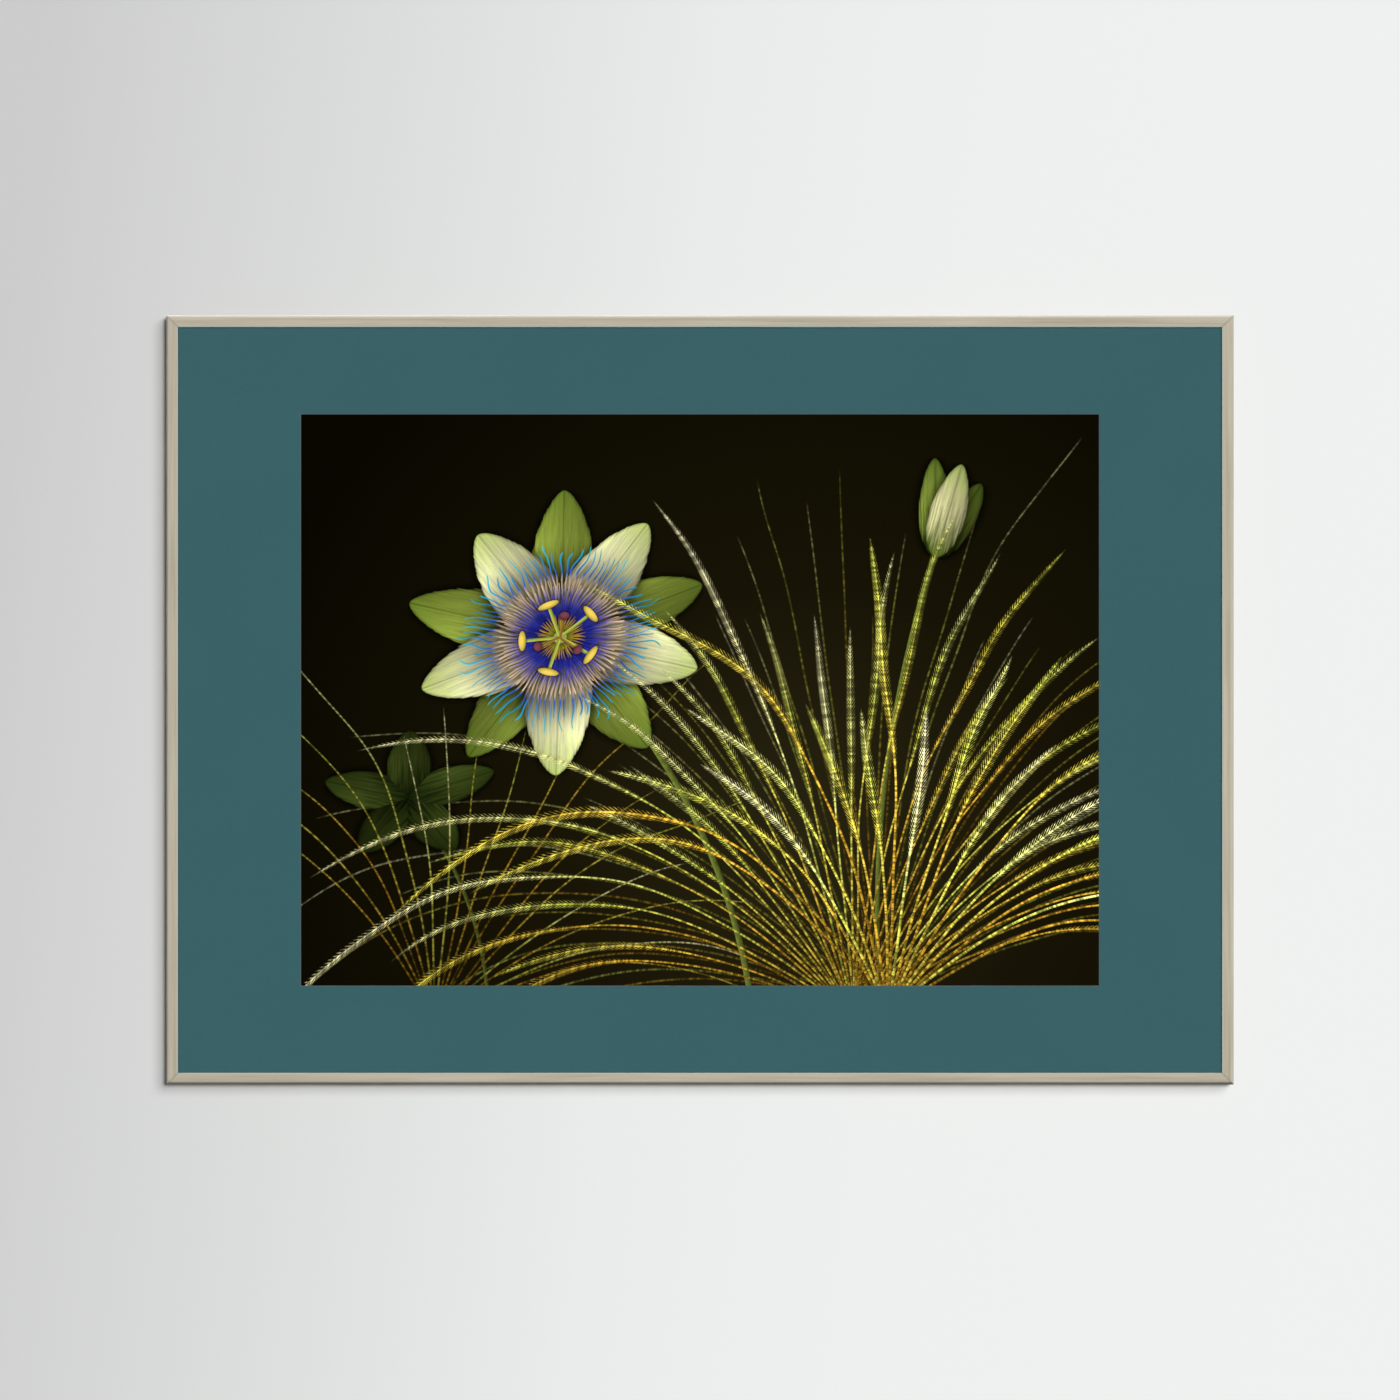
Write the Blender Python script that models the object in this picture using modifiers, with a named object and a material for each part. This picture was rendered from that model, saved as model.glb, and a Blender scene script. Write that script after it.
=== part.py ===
"""A wide framed picture that hangs on a wall: four mitred wooden rails hold a clear sheet,
a bevelled window mat, a print and a backing board.

Metres, +Z up. The picture faces -Y and its back lies against the wall plane Y = 0. The
origin is where the nail that the picture hangs on leaves the wall.
"""

import math

import bmesh
import bpy
from mathutils import Matrix, Vector

# The opening that shows between the rails, and the rails' cross-section
SIGHT_WIDTH = 0.700
SIGHT_HEIGHT = 0.500
FACE_WIDTH = 0.008
FRAME_DEPTH = 0.020
LIP_WIDTH = 0.004
LIP_DEPTH = 0.004
LIP_EDGE_WIDTH = 0.0004
LIP_EDGE_DEPTH = 0.0001
OUTER_ROUND_WIDTH = 0.0023
OUTER_ROUND_DEPTH = 0.0030
BACK_CHAMFER = 0.0005
ARC_STEPS = 6

SMOOTH_UNDER = math.radians(30)
MERGE_WITHIN = 0.000001

# Turns a flat outline's plane, so that its up becomes Z and its thickness Y
FACING_BACK = Matrix(((1, 0, 0, 0), (0, 0, -1, 0), (0, 1, 0, 0), (0, 0, 0, 1)))
# Turns it so that its right becomes Z, its up Y and its thickness X
ALONG_RAIL = Matrix(((0, 0, -1, 0), (0, 1, 0, 0), (1, 0, 0, 0), (0, 0, 0, 1)))

# What the rails hold, front to back
FIT_GAP = 0.0003
GLAZING_THICKNESS = 0.0015
MAT_THICKNESS = 0.0012
PRINT_THICKNESS = 0.0003
BACKING_THICKNESS = 0.003
WINDOW_WIDTH = 0.5356
WINDOW_HEIGHT = 0.3834
WINDOW_BEVEL = 0.0008
PRINT_OVERLAP = 0.010

# Steel tabs that keep the backing board in
TAB_WIDTH = 0.008
TAB_REACH = 0.0095
TAB_ROOT = 0.0018
TAB_THICKNESS = 0.0005
TAB_CORNER = 0.0028
TAB_CORNER_STEPS = 4
TABS_ACROSS = 4
TABS_UP = 3

# The serrated hanging strip and its rivets
NAIL_BELOW_TOP = 0.030
HANGER_LENGTH = 0.056
HANGER_HEIGHT = 0.010
HANGER_THICKNESS = 0.0008
HANGER_RISE = 0.0026
HANGER_END = 0.0095
HANGER_SLOPE = 0.0035
HANGER_BEND = 0.0012
TOOTH_PITCH = 0.002
TOOTH_HEIGHT = 0.0013
TOOTH_COUNT = 13
RIVET_FROM_END = 0.0045
RIVET_HEAD_RADIUS = 0.0026
RIVET_HEAD_HEIGHT = 0.0011
RIVET_SHANK_RADIUS = 0.0012
RIVET_BITE = 0.0026
ROUND_SIDES = 32

# Worked out from the sizes above
OUTER_HEIGHT = SIGHT_HEIGHT + 2 * FACE_WIDTH
CENTRE_Z = NAIL_BELOW_TOP - OUTER_HEIGHT / 2
FRONT_Y = -FRAME_DEPTH
SHEET_WIDTH = SIGHT_WIDTH + 2 * (LIP_WIDTH - FIT_GAP)
SHEET_HEIGHT = SIGHT_HEIGHT + 2 * (LIP_WIDTH - FIT_GAP)
GLAZING_Y = FRONT_Y + LIP_DEPTH + FIT_GAP
MAT_Y = GLAZING_Y + GLAZING_THICKNESS + FIT_GAP
PRINT_Y = MAT_Y + MAT_THICKNESS + FIT_GAP
BACKING_Y = PRINT_Y + PRINT_THICKNESS + FIT_GAP
BACKING_REAR_Y = BACKING_Y + BACKING_THICKNESS
TAB_Y = BACKING_REAR_Y + FIT_GAP
HANGER_Y = BACKING_REAR_Y + FIT_GAP
RIVET_X = HANGER_LENGTH / 2 - RIVET_FROM_END
RIVET_Z = HANGER_HEIGHT / 2 - TOOTH_HEIGHT

# Base colours read from the picture: linear RGB
OAK = (0.47, 0.43, 0.34)
CLEAR = (0.97, 0.98, 0.97)
PETROL = (0.044, 0.124, 0.136)
NEAR_BLACK = (0.006, 0.005, 0.002)
FIBREBOARD = (0.28, 0.19, 0.11)
STEEL = (0.58, 0.58, 0.57)
BRASS_PLATE = (0.62, 0.55, 0.36)


def clear_scene():
    """Removes every object, so that the file can be run again in an open scene."""
    for obj in list(bpy.data.objects):
        bpy.data.objects.remove(obj, do_unlink=True)


def collection(name, hidden=False):
    """A new collection under the scene."""
    made = bpy.data.collections.new(name)
    made.hide_render = hidden
    bpy.context.scene.collection.children.link(made)
    return made


def finish(name, colour, roughness, metallic=0.0, transmission=0.0):
    """A Principled material."""
    material = bpy.data.materials.new(name)
    material.use_nodes = True
    shader = material.node_tree.nodes["Principled BSDF"]
    shader.inputs["Base Color"].default_value = (*colour, 1.0)
    shader.inputs["Roughness"].default_value = roughness
    shader.inputs["Metallic"].default_value = metallic
    shader.inputs["Transmission Weight"].default_value = transmission
    material.diffuse_color = (*colour, 1.0 - 0.7 * transmission)
    return material


def add_object(name, mesh, into, material=None):
    """An object around the mesh, in the collection."""
    obj = bpy.data.objects.new(name, mesh)
    into.objects.link(obj)
    if material:
        mesh.materials.append(material)
    return obj


def as_cutter(obj):
    """Keeps a cutting shape out of the picture."""
    obj.hide_render = True
    obj.display_type = "WIRE"
    return obj


def cut(obj, cutter):
    """Takes the cutter's shape out of the object."""
    modifier = obj.modifiers.new("Cut", "BOOLEAN")
    modifier.operation = "DIFFERENCE"
    modifier.solver = "EXACT"
    modifier.object = cutter


def slab(name, size, centre, into, material=None):
    """A box of this size, with its scale in the mesh."""
    mesh = bpy.data.meshes.new(name)
    bm = bmesh.new()
    bmesh.ops.create_cube(bm, size=1.0, matrix=Matrix.Diagonal((*size, 1.0)))
    bm.to_mesh(mesh)
    bm.free()
    obj = add_object(name, mesh, into, material)
    obj.location = centre
    return obj


def arc(centre, across, down, start, end, steps=ARC_STEPS):
    """Points along an oval's arc in a plane, with both ends, at angles in degrees."""
    turns = [math.radians(start + (end - start) * i / steps) for i in range(steps + 1)]
    return [
        (centre[0] + across * math.cos(t), centre[1] + down * math.sin(t)) for t in turns
    ]


def smooth(mesh):
    """Shades a rounded piece smooth, and keeps its real edges sharp."""
    mesh.shade_smooth()
    mesh.set_sharp_from_angle(angle=SMOOTH_UNDER)


def plate(name, outline, thickness, turn, into, material=None):
    """A solid of this flat outline and thickness, its plane turned into the object's own axes."""
    curve = bpy.data.curves.new(name, "CURVE")
    curve.dimensions = "2D"
    curve.fill_mode = "BOTH"
    curve.extrude = thickness / 2
    spline = curve.splines.new("POLY")
    spline.points.add(len(outline) - 1)
    for point, (x, y) in zip(spline.points, outline):
        point.co = (x, y, 0.0, 1.0)
    spline.use_cyclic_u = True
    drawn = add_object(name + "_outline", curve, into)
    bpy.context.view_layer.update()
    mesh = bpy.data.meshes.new_from_object(
        drawn.evaluated_get(bpy.context.evaluated_depsgraph_get())
    )
    bpy.data.objects.remove(drawn, do_unlink=True)
    mesh.transform(turn)
    bm = bmesh.new()
    bm.from_mesh(mesh)
    bmesh.ops.remove_doubles(bm, verts=bm.verts, dist=MERGE_WITHIN)
    bmesh.ops.recalc_face_normals(bm, faces=bm.faces)
    bm.to_mesh(mesh)
    bm.free()
    mesh.name = name
    smooth(mesh)
    return add_object(name, mesh, into, material)


def rail_profile():
    """The rail's section: how far outward from the sight edge, and how far back from the front."""
    middle = (FACE_WIDTH - OUTER_ROUND_WIDTH, OUTER_ROUND_DEPTH)
    return [
        (LIP_EDGE_WIDTH, 0.0),
        *arc(middle, OUTER_ROUND_WIDTH, OUTER_ROUND_DEPTH, -90.0, 0.0),
        (FACE_WIDTH, FRAME_DEPTH - BACK_CHAMFER),
        (FACE_WIDTH - BACK_CHAMFER, FRAME_DEPTH),
        (LIP_WIDTH + BACK_CHAMFER, FRAME_DEPTH),
        (LIP_WIDTH, FRAME_DEPTH - BACK_CHAMFER),
        (LIP_WIDTH, LIP_DEPTH),
        (0.0, LIP_DEPTH),
        (0.0, LIP_EDGE_DEPTH),
    ]


def mitre(mesh, sight_length):
    """Cuts both ends of a rail at 45 degrees, half a gap short of the corner's diagonal."""
    bm = bmesh.new()
    bm.from_mesh(mesh)
    for side in (1.0, -1.0):
        outward = Vector((side, 0.0, -1.0)).normalized()
        corner = Vector((side * sight_length / 2, 0.0, 0.0)) - outward * FIT_GAP / 2
        bmesh.ops.bisect_plane(
            bm,
            geom=bm.verts[:] + bm.edges[:] + bm.faces[:],
            plane_co=corner,
            plane_no=outward,
            clear_outer=True,
        )
        bmesh.ops.holes_fill(bm, edges=[edge for edge in bm.edges if edge.is_boundary])
    bmesh.ops.recalc_face_normals(bm, faces=bm.faces)
    bm.to_mesh(mesh)
    bm.free()
    smooth(mesh)


def spread(count, length):
    """Even places along a length, each in the middle of its share."""
    return [length * ((i + 0.5) / count - 0.5) for i in range(count)]


def slots(name, places, into):
    """The slits in a rail's inner wall that take the tabs, as one cutter in the rail's own axes."""
    mesh = bpy.data.meshes.new(name)
    bm = bmesh.new()
    depth = TAB_ROOT + FIT_GAP
    size = (TAB_WIDTH + 2 * FIT_GAP, TAB_THICKNESS + 2 * FIT_GAP, 2 * depth)
    middle_y = TAB_Y - FRONT_Y + TAB_THICKNESS / 2
    for x in places:
        place = Matrix.Translation((x, middle_y, LIP_WIDTH))
        bmesh.ops.create_cube(bm, size=1.0, matrix=place @ Matrix.Diagonal((*size, 1.0)))
    bm.to_mesh(mesh)
    bm.free()
    return as_cutter(add_object(name, mesh, into))


def tab_outline():
    """A tab seen from behind: its square root in the slit, and its rounded tip towards the picture."""
    half = TAB_WIDTH / 2
    inner = half - TAB_CORNER
    tip = -TAB_REACH + TAB_CORNER
    return [
        (half, TAB_ROOT),
        (-half, TAB_ROOT),
        *arc((-inner, tip), TAB_CORNER, TAB_CORNER, 180.0, 270.0, TAB_CORNER_STEPS),
        *arc((inner, tip), TAB_CORNER, TAB_CORNER, 270.0, 360.0, TAB_CORNER_STEPS),
    ]


def rail(side, sight_length, turn, place, tabs, parts, cutters, oak, steel):
    """One side of the frame: the rail with its slits, and the tabs that sit in them.

    In the rail's own axes X runs along it, Y goes back from the front and Z points outward
    from the sight edge. The tabs are numbered from the left, or from the top.
    """
    length = sight_length + 2 * FACE_WIDTH
    body = plate("rail_" + side, rail_profile(), length, ALONG_RAIL, parts, oak)
    mitre(body.data, sight_length)
    places = spread(tabs, sight_length)
    cutter = slots("slits_" + side, places, cutters)
    cut(body, cutter)
    for obj in (body, cutter):
        obj.location = place
        obj.rotation_euler = (0.0, turn, 0.0)
    tab_y = TAB_Y - FRONT_Y + TAB_THICKNESS / 2
    along = 1 if turn < math.pi else -1
    for number, x in enumerate(places[::along], 1):
        name = f"flex_point_{side}_{number}"
        tab = plate(name, tab_outline(), TAB_THICKNESS, FACING_BACK, parts, steel)
        tab.parent = body
        tab.location = (x, tab_y, LIP_WIDTH)


def sheet(name, width, height, thickness, front_y, parts, material):
    """A flat sheet behind the sight, its front at this Y."""
    size = (width, thickness, height)
    return slab(name, size, (0.0, front_y + thickness / 2, CENTRE_Z), parts, material)


def window_cutter(cutters):
    """The mat's window, which opens to the front, carried a board's thickness past both faces.

    The window's size holds at the board's back. On each side, the cutter is a bevel narrower
    at its rear end and two bevels wider at its front end.
    """
    mesh = bpy.data.meshes.new("window_shape")
    bm = bmesh.new()
    size = (WINDOW_WIDTH, 3 * MAT_THICKNESS, WINDOW_HEIGHT)
    bmesh.ops.create_cube(bm, size=1.0, matrix=Matrix.Diagonal((*size, 1.0)))
    for vert in bm.verts:
        grow = 2 * WINDOW_BEVEL if vert.co.y < 0 else -WINDOW_BEVEL
        vert.co.x += math.copysign(1.0, vert.co.x) * grow
        vert.co.z += math.copysign(1.0, vert.co.z) * grow
    bm.to_mesh(mesh)
    bm.free()
    cutter = as_cutter(add_object("window_shape", mesh, cutters))
    cutter.location = (0.0, MAT_Y + MAT_THICKNESS / 2, CENTRE_Z)
    return cutter


def sheets(parts, cutters, clear, petrol, ink, fibre):
    """The clear sheet, the mat, the print and the backing board."""
    sheet("glazing", SHEET_WIDTH, SHEET_HEIGHT, GLAZING_THICKNESS, GLAZING_Y, parts, clear)
    mat = sheet("mat", SHEET_WIDTH, SHEET_HEIGHT, MAT_THICKNESS, MAT_Y, parts, petrol)
    cut(mat, window_cutter(cutters))
    print_width = WINDOW_WIDTH + 2 * PRINT_OVERLAP
    print_height = WINDOW_HEIGHT + 2 * PRINT_OVERLAP
    sheet("print", print_width, print_height, PRINT_THICKNESS, PRINT_Y, parts, ink)
    return sheet(
        "backing_board", SHEET_WIDTH, SHEET_HEIGHT, BACKING_THICKNESS, BACKING_Y, parts, fibre
    )


def eased(points, radius, steps=3):
    """An open path with each inner corner turned into an arc that leaves it this far off."""
    path = [Vector(points[0])]
    for before, corner, after in zip(points, points[1:], points[2:]):
        corner = Vector(corner)
        start = corner + (Vector(before) - corner).normalized() * radius
        end = corner + (Vector(after) - corner).normalized() * radius
        for i in range(steps + 1):
            t = i / steps
            path.append((1 - t) ** 2 * start + 2 * t * (1 - t) * corner + t**2 * end)
    return path + [Vector(points[-1])]


def strip_path():
    """The hanging strip seen from above: flat ends on the board, and a raised middle."""
    low = HANGER_Y + HANGER_THICKNESS / 2
    high = low + HANGER_RISE
    end = HANGER_LENGTH / 2
    foot = end - HANGER_END
    top = foot - HANGER_SLOPE
    corners = [(-end, low), (-foot, low), (-top, high), (top, high), (foot, low), (end, low)]
    return eased(corners, HANGER_BEND)


def teeth_cutter(cutters):
    """A row of upright teeth that notches the strip's lower edge."""
    half = TOOTH_COUNT * TOOTH_PITCH / 2
    below = -2 * TOOTH_HEIGHT
    outline = [(half, below), (half, -TOOTH_HEIGHT)]
    for i in range(TOOTH_COUNT):
        right = half - i * TOOTH_PITCH
        outline += [(right - TOOTH_PITCH / 2, 0.0), (right - TOOTH_PITCH, -TOOTH_HEIGHT)]
    outline.append((-half, below))
    through = 4 * HANGER_RISE
    cutter = as_cutter(plate("teeth_shape", outline, through, FACING_BACK, cutters))
    cutter.location = (0.0, HANGER_Y + HANGER_RISE, 0.0)
    return cutter


def rivet_holes(cutters):
    """The two round holes for the rivets, as one cutter through the strip and the board."""
    mesh = bpy.data.meshes.new("rivet_holes")
    bm = bmesh.new()
    through = 4 * BACKING_THICKNESS
    lying = Matrix.Rotation(math.pi / 2, 4, "X")
    for x in (-RIVET_X, RIVET_X):
        bmesh.ops.create_cone(
            bm,
            cap_ends=True,
            segments=ROUND_SIDES,
            radius1=RIVET_SHANK_RADIUS + FIT_GAP,
            radius2=RIVET_SHANK_RADIUS + FIT_GAP,
            depth=through,
            matrix=Matrix.Translation((x, 0.0, 0.0)) @ lying,
        )
    bm.to_mesh(mesh)
    bm.free()
    cutter = as_cutter(add_object("rivet_holes", mesh, cutters))
    cutter.location = (0.0, BACKING_REAR_Y, RIVET_Z)
    return cutter


def hanging_strip(parts, teeth, holes, plated):
    """The serrated strip: an open surface along its path, thickened and notched."""
    mesh = bpy.data.meshes.new("hanger")
    bm = bmesh.new()
    path = strip_path()
    verts = [bm.verts.new((x, y, -TOOTH_HEIGHT)) for x, y in path]
    edges = [bm.edges.new(pair) for pair in zip(verts, verts[1:])]
    risen = bmesh.ops.extrude_edge_only(bm, edges=edges)["geom"]
    bmesh.ops.translate(
        bm,
        verts=[item for item in risen if isinstance(item, bmesh.types.BMVert)],
        vec=(0.0, 0.0, HANGER_HEIGHT),
    )
    bm.to_mesh(mesh)
    bm.free()
    strip = add_object("hanger", mesh, parts, plated)
    wall = strip.modifiers.new("Thickness", "SOLIDIFY")
    wall.thickness = HANGER_THICKNESS
    wall.offset = 0.0
    wall.use_even_offset = True
    cut(strip, teeth)
    cut(strip, holes)


def rivet(name, x, parts, steel):
    """A domed rivet, turned about its own axis. Its head faces the wall."""
    underside = HANGER_Y + HANGER_THICKNESS + FIT_GAP - BACKING_REAR_Y
    crown = underside + RIVET_HEAD_HEIGHT
    dome = [
        (RIVET_HEAD_RADIUS * math.sin(t), underside + RIVET_HEAD_HEIGHT * math.cos(t))
        for t in (math.pi / 2 * i / ARC_STEPS for i in range(1, ARC_STEPS + 1))
    ]
    profile = [(0.0, crown), *dome]
    profile += [(RIVET_SHANK_RADIUS, underside), (RIVET_SHANK_RADIUS, -RIVET_BITE)]
    profile.append((0.0, -RIVET_BITE))
    mesh = bpy.data.meshes.new(name)
    bm = bmesh.new()
    verts = [bm.verts.new((r, 0.0, z)) for r, z in profile]
    for pair in zip(verts, verts[1:]):
        bm.edges.new(pair)
    bm.to_mesh(mesh)
    bm.free()
    obj = add_object(name, mesh, parts, steel)
    turned = obj.modifiers.new("Turned", "SCREW")
    turned.axis = "Z"
    turned.steps = ROUND_SIDES
    turned.render_steps = ROUND_SIDES
    turned.use_merge_vertices = True
    turned.merge_threshold = MERGE_WITHIN
    turned.use_smooth_shade = True
    obj.rotation_euler = (-math.pi / 2, 0.0, 0.0)
    obj.location = (x, BACKING_REAR_Y, RIVET_Z)


def main():
    """Makes the finishes, the four rails with their tabs, the sheets and the hanger."""
    clear_scene()
    parts = collection("framed_picture")
    cutters = collection("cutters", hidden=True)
    oak = finish("limed oak", OAK, 0.6)
    steel = finish("spring steel", STEEL, 0.35, metallic=1.0)
    plated = finish("brass-plated steel", BRASS_PLATE, 0.3, metallic=1.0)
    clear = finish("clear acrylic", CLEAR, 0.02, transmission=1.0)
    petrol = finish("petrol mat board", PETROL, 0.9)
    ink = finish("printed paper", NEAR_BLACK, 0.6)
    fibre = finish("fibreboard", FIBREBOARD, 0.75)

    half_width = SIGHT_WIDTH / 2
    half_height = SIGHT_HEIGHT / 2
    quarter = math.pi / 2
    sides = (
        ("top", SIGHT_WIDTH, 0.0, (0.0, FRONT_Y, CENTRE_Z + half_height), TABS_ACROSS),
        ("right", SIGHT_HEIGHT, quarter, (half_width, FRONT_Y, CENTRE_Z), TABS_UP),
        ("bottom", SIGHT_WIDTH, 2 * quarter, (0.0, FRONT_Y, CENTRE_Z - half_height), TABS_ACROSS),
        ("left", SIGHT_HEIGHT, 3 * quarter, (-half_width, FRONT_Y, CENTRE_Z), TABS_UP),
    )
    for side, length, turn, place, tabs in sides:
        rail(side, length, turn, place, tabs, parts, cutters, oak, steel)
    board = sheets(parts, cutters, clear, petrol, ink, fibre)
    holes = rivet_holes(cutters)
    cut(board, holes)
    hanging_strip(parts, teeth_cutter(cutters), holes, plated)
    for name, x in (("hanger_rivet_left", -RIVET_X), ("hanger_rivet_right", RIVET_X)):
        rivet(name, x, parts, steel)


main()
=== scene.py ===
"""The looks of a wide framed picture on a wall, built around its CAD solids.

Metres, +Z up. The picture faces -Y, its back is on the wall plane Y = 0, and the origin is
where the nail it hangs on leaves the wall. Four limed oak rails hold a clear acrylic sheet,
a bevelled window mat, a print and a hardboard back, kept in by fourteen steel points.
"""

import logging
import math
from collections.abc import Iterable, Sequence
from dataclasses import dataclass, field
from enum import Enum
from typing import Any

import bmesh
import bpy
import numpy as np
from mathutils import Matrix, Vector


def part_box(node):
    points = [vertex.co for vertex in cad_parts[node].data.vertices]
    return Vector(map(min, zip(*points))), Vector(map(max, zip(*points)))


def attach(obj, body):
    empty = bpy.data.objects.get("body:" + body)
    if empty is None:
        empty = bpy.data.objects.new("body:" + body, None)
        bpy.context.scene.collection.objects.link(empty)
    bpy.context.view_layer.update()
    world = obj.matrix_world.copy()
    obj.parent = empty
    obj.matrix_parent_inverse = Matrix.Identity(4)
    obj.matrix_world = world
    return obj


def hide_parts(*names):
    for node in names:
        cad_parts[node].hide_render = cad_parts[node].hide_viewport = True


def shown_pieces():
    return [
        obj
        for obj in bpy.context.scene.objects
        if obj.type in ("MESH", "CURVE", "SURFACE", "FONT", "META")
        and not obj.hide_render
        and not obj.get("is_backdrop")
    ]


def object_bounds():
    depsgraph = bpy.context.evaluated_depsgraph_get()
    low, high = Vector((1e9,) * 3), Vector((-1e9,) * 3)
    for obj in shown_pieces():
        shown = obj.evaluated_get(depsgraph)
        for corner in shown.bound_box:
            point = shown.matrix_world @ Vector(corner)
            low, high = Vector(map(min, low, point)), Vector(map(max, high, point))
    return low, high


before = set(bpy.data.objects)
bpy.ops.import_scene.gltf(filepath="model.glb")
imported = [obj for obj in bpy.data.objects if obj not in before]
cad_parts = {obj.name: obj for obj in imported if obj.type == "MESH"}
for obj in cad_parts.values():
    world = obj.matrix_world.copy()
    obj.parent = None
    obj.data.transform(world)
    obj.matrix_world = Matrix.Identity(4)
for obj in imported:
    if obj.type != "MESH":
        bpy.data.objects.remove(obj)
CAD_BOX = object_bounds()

LOG = logging.getLogger("framed_picture")
MM = 1000.0  # millimetres in a metre
TURN = 2 * math.pi
BODY = "root"

Socket = bpy.types.NodeSocket
SMOOTH = {"interpolation_type": "SMOOTHSTEP"}


class Side(Enum):
    """A side of the frame, and the direction from the picture's middle to it."""

    TOP = (0, 1)
    BOTTOM = (0, -1)
    LEFT = (-1, 0)
    RIGHT = (1, 0)

    @property
    def label(self) -> str:
        """The side's name, as the CAD nodes have it."""
        return self.name.lower()

    @property
    def outward(self) -> np.ndarray:
        """The unit vector from the picture's middle to this side."""
        return np.array([self.value[0], 0.0, self.value[1]])

    @property
    def along(self) -> np.ndarray:
        """The unit vector along this side, to the right or up."""
        return np.array([abs(self.value[1]), 0.0, abs(self.value[0])])


# ---------------------------------------------------------------------------------------
# Surfaces: points worked out as whole arrays, and the faces between them
# ---------------------------------------------------------------------------------------


def grid_faces(rows: int, cols: int, wrap_rows: bool = False, wrap_cols: bool = False) -> np.ndarray:
    """The four-cornered faces over a grid of points that are counted row by row.

    Args:
        rows: how many rows of points there are.
        cols: how many points each row has.
        wrap_rows: whether the last row joins the first.
        wrap_cols: whether each row's last point joins its first.

    Returns:
        The point numbers of each face, four to a row.
    """
    row = np.arange(rows if wrap_rows else rows - 1)[:, None]
    col = np.arange(cols if wrap_cols else cols - 1)[None, :]
    next_row, next_col = (row + 1) % rows, (col + 1) % cols
    corners = (
        row * cols + col,
        row * cols + next_col,
        next_row * cols + next_col,
        next_row * cols + col,
    )
    return np.stack(np.broadcast_arrays(*corners), axis=-1).reshape(-1, 4)


def closed_mesh(name: str, points: np.ndarray, faces: Iterable[Sequence[int]]) -> bpy.types.Mesh:
    """A mesh of a closed surface, with its doubled points merged and its faces turned outward.

    Args:
        name: the mesh's name.
        points: the points, in any shape that ends in three.
        faces: the point numbers of each face.

    Returns:
        The mesh.
    """
    mesh = bpy.data.meshes.new(name)
    mesh.from_pydata(points.reshape(-1, 3).tolist(), [], [list(face) for face in faces])
    shell = bmesh.new()
    shell.from_mesh(mesh)
    bmesh.ops.remove_doubles(shell, verts=shell.verts, dist=1e-7)
    bmesh.ops.recalc_face_normals(shell, faces=shell.faces)
    shell.to_mesh(mesh)
    shell.free()
    mesh.shade_smooth()
    mesh.set_sharp_from_angle(angle=math.radians(30))
    return mesh


def plate_mesh(name: str, front: np.ndarray, back: np.ndarray) -> bpy.types.Mesh:
    """A closed plate between two grids of points, with a rim that joins their edges.

    Args:
        name: the mesh's name.
        front: rows by columns by three.
        back: the same grid, moved by the plate's thickness.

    Returns:
        The mesh.
    """
    rows, cols, _ = front.shape
    sheet = grid_faces(rows, cols)
    number = np.arange(rows * cols).reshape(rows, cols)
    rim = np.concatenate(
        [number[0, :-1], number[:-1, -1], number[-1, :0:-1], number[:0:-1, 0]]
    )
    ahead = np.roll(rim, -1)
    count = rows * cols
    edge = np.stack([rim, ahead, ahead + count, rim + count], axis=-1)
    faces = np.concatenate([sheet, sheet[:, ::-1] + count, edge])
    return closed_mesh(name, np.stack([front, back]), faces)


def turned_mesh(name: str, profile: np.ndarray, centre: Vector, sides: int) -> bpy.types.Mesh:
    """A surface of revolution about an axis along Y.

    A point of the profile at radius r and depth y is carried round to
    (r cos t, y, r sin t), for t over a full turn. Its two ends lie on the axis.

    Args:
        name: the mesh's name.
        profile: radius and depth of each point, from one pole to the other.
        centre: where the axis crosses depth 0.
        sides: how many steps go round.

    Returns:
        The mesh.
    """
    turn = np.linspace(0.0, TURN, sides, endpoint=False)[:, None]
    radius, depth = profile[None, :, 0], profile[None, :, 1]
    points = np.stack(
        [radius * np.cos(turn), depth + 0.0 * turn, radius * np.sin(turn)], axis=-1
    ) + np.array(centre)
    return closed_mesh(name, points, grid_faces(sides, len(profile), wrap_rows=True))


def arc_points(
    centre: tuple[float, float], radii: tuple[float, float], start: float, end: float, steps: int
) -> np.ndarray:
    """Points on an oval's arc: centre + (a cos t, b sin t), for t from start to end in degrees.

    Args:
        centre: the oval's centre.
        radii: its a and b.
        start: the first angle.
        end: the last angle.
        steps: how many steps lie between the first point and the last.

    Returns:
        The points, both ends with them.
    """
    t = np.radians(np.linspace(start, end, steps + 1))
    return np.stack([centre[0] + radii[0] * np.cos(t), centre[1] + radii[1] * np.sin(t)], axis=-1)


def resampled(outline: np.ndarray, spacing: float) -> np.ndarray:
    """A closed outline with more points along its long straights, and every corner kept.

    Args:
        outline: its points in order, without the first again at the end.
        spacing: the widest gap to leave between points.

    Returns:
        The points.
    """
    closed = np.concatenate([outline, outline[:1]])
    run = np.concatenate([[0.0], np.cumsum(np.linalg.norm(np.diff(closed, axis=0), axis=1))])
    even = np.linspace(0.0, run[-1], round(run[-1] / spacing), endpoint=False)
    clear = np.abs(even[:, None] - run[None, :]).min(axis=1) > spacing / 3
    place = np.sort(np.concatenate([even[clear], run[:-1]]))
    return np.stack([np.interp(place, run, closed[:, i]) for i in (0, 1)], axis=-1)


# ---------------------------------------------------------------------------------------
# Finishes
# ---------------------------------------------------------------------------------------


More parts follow.
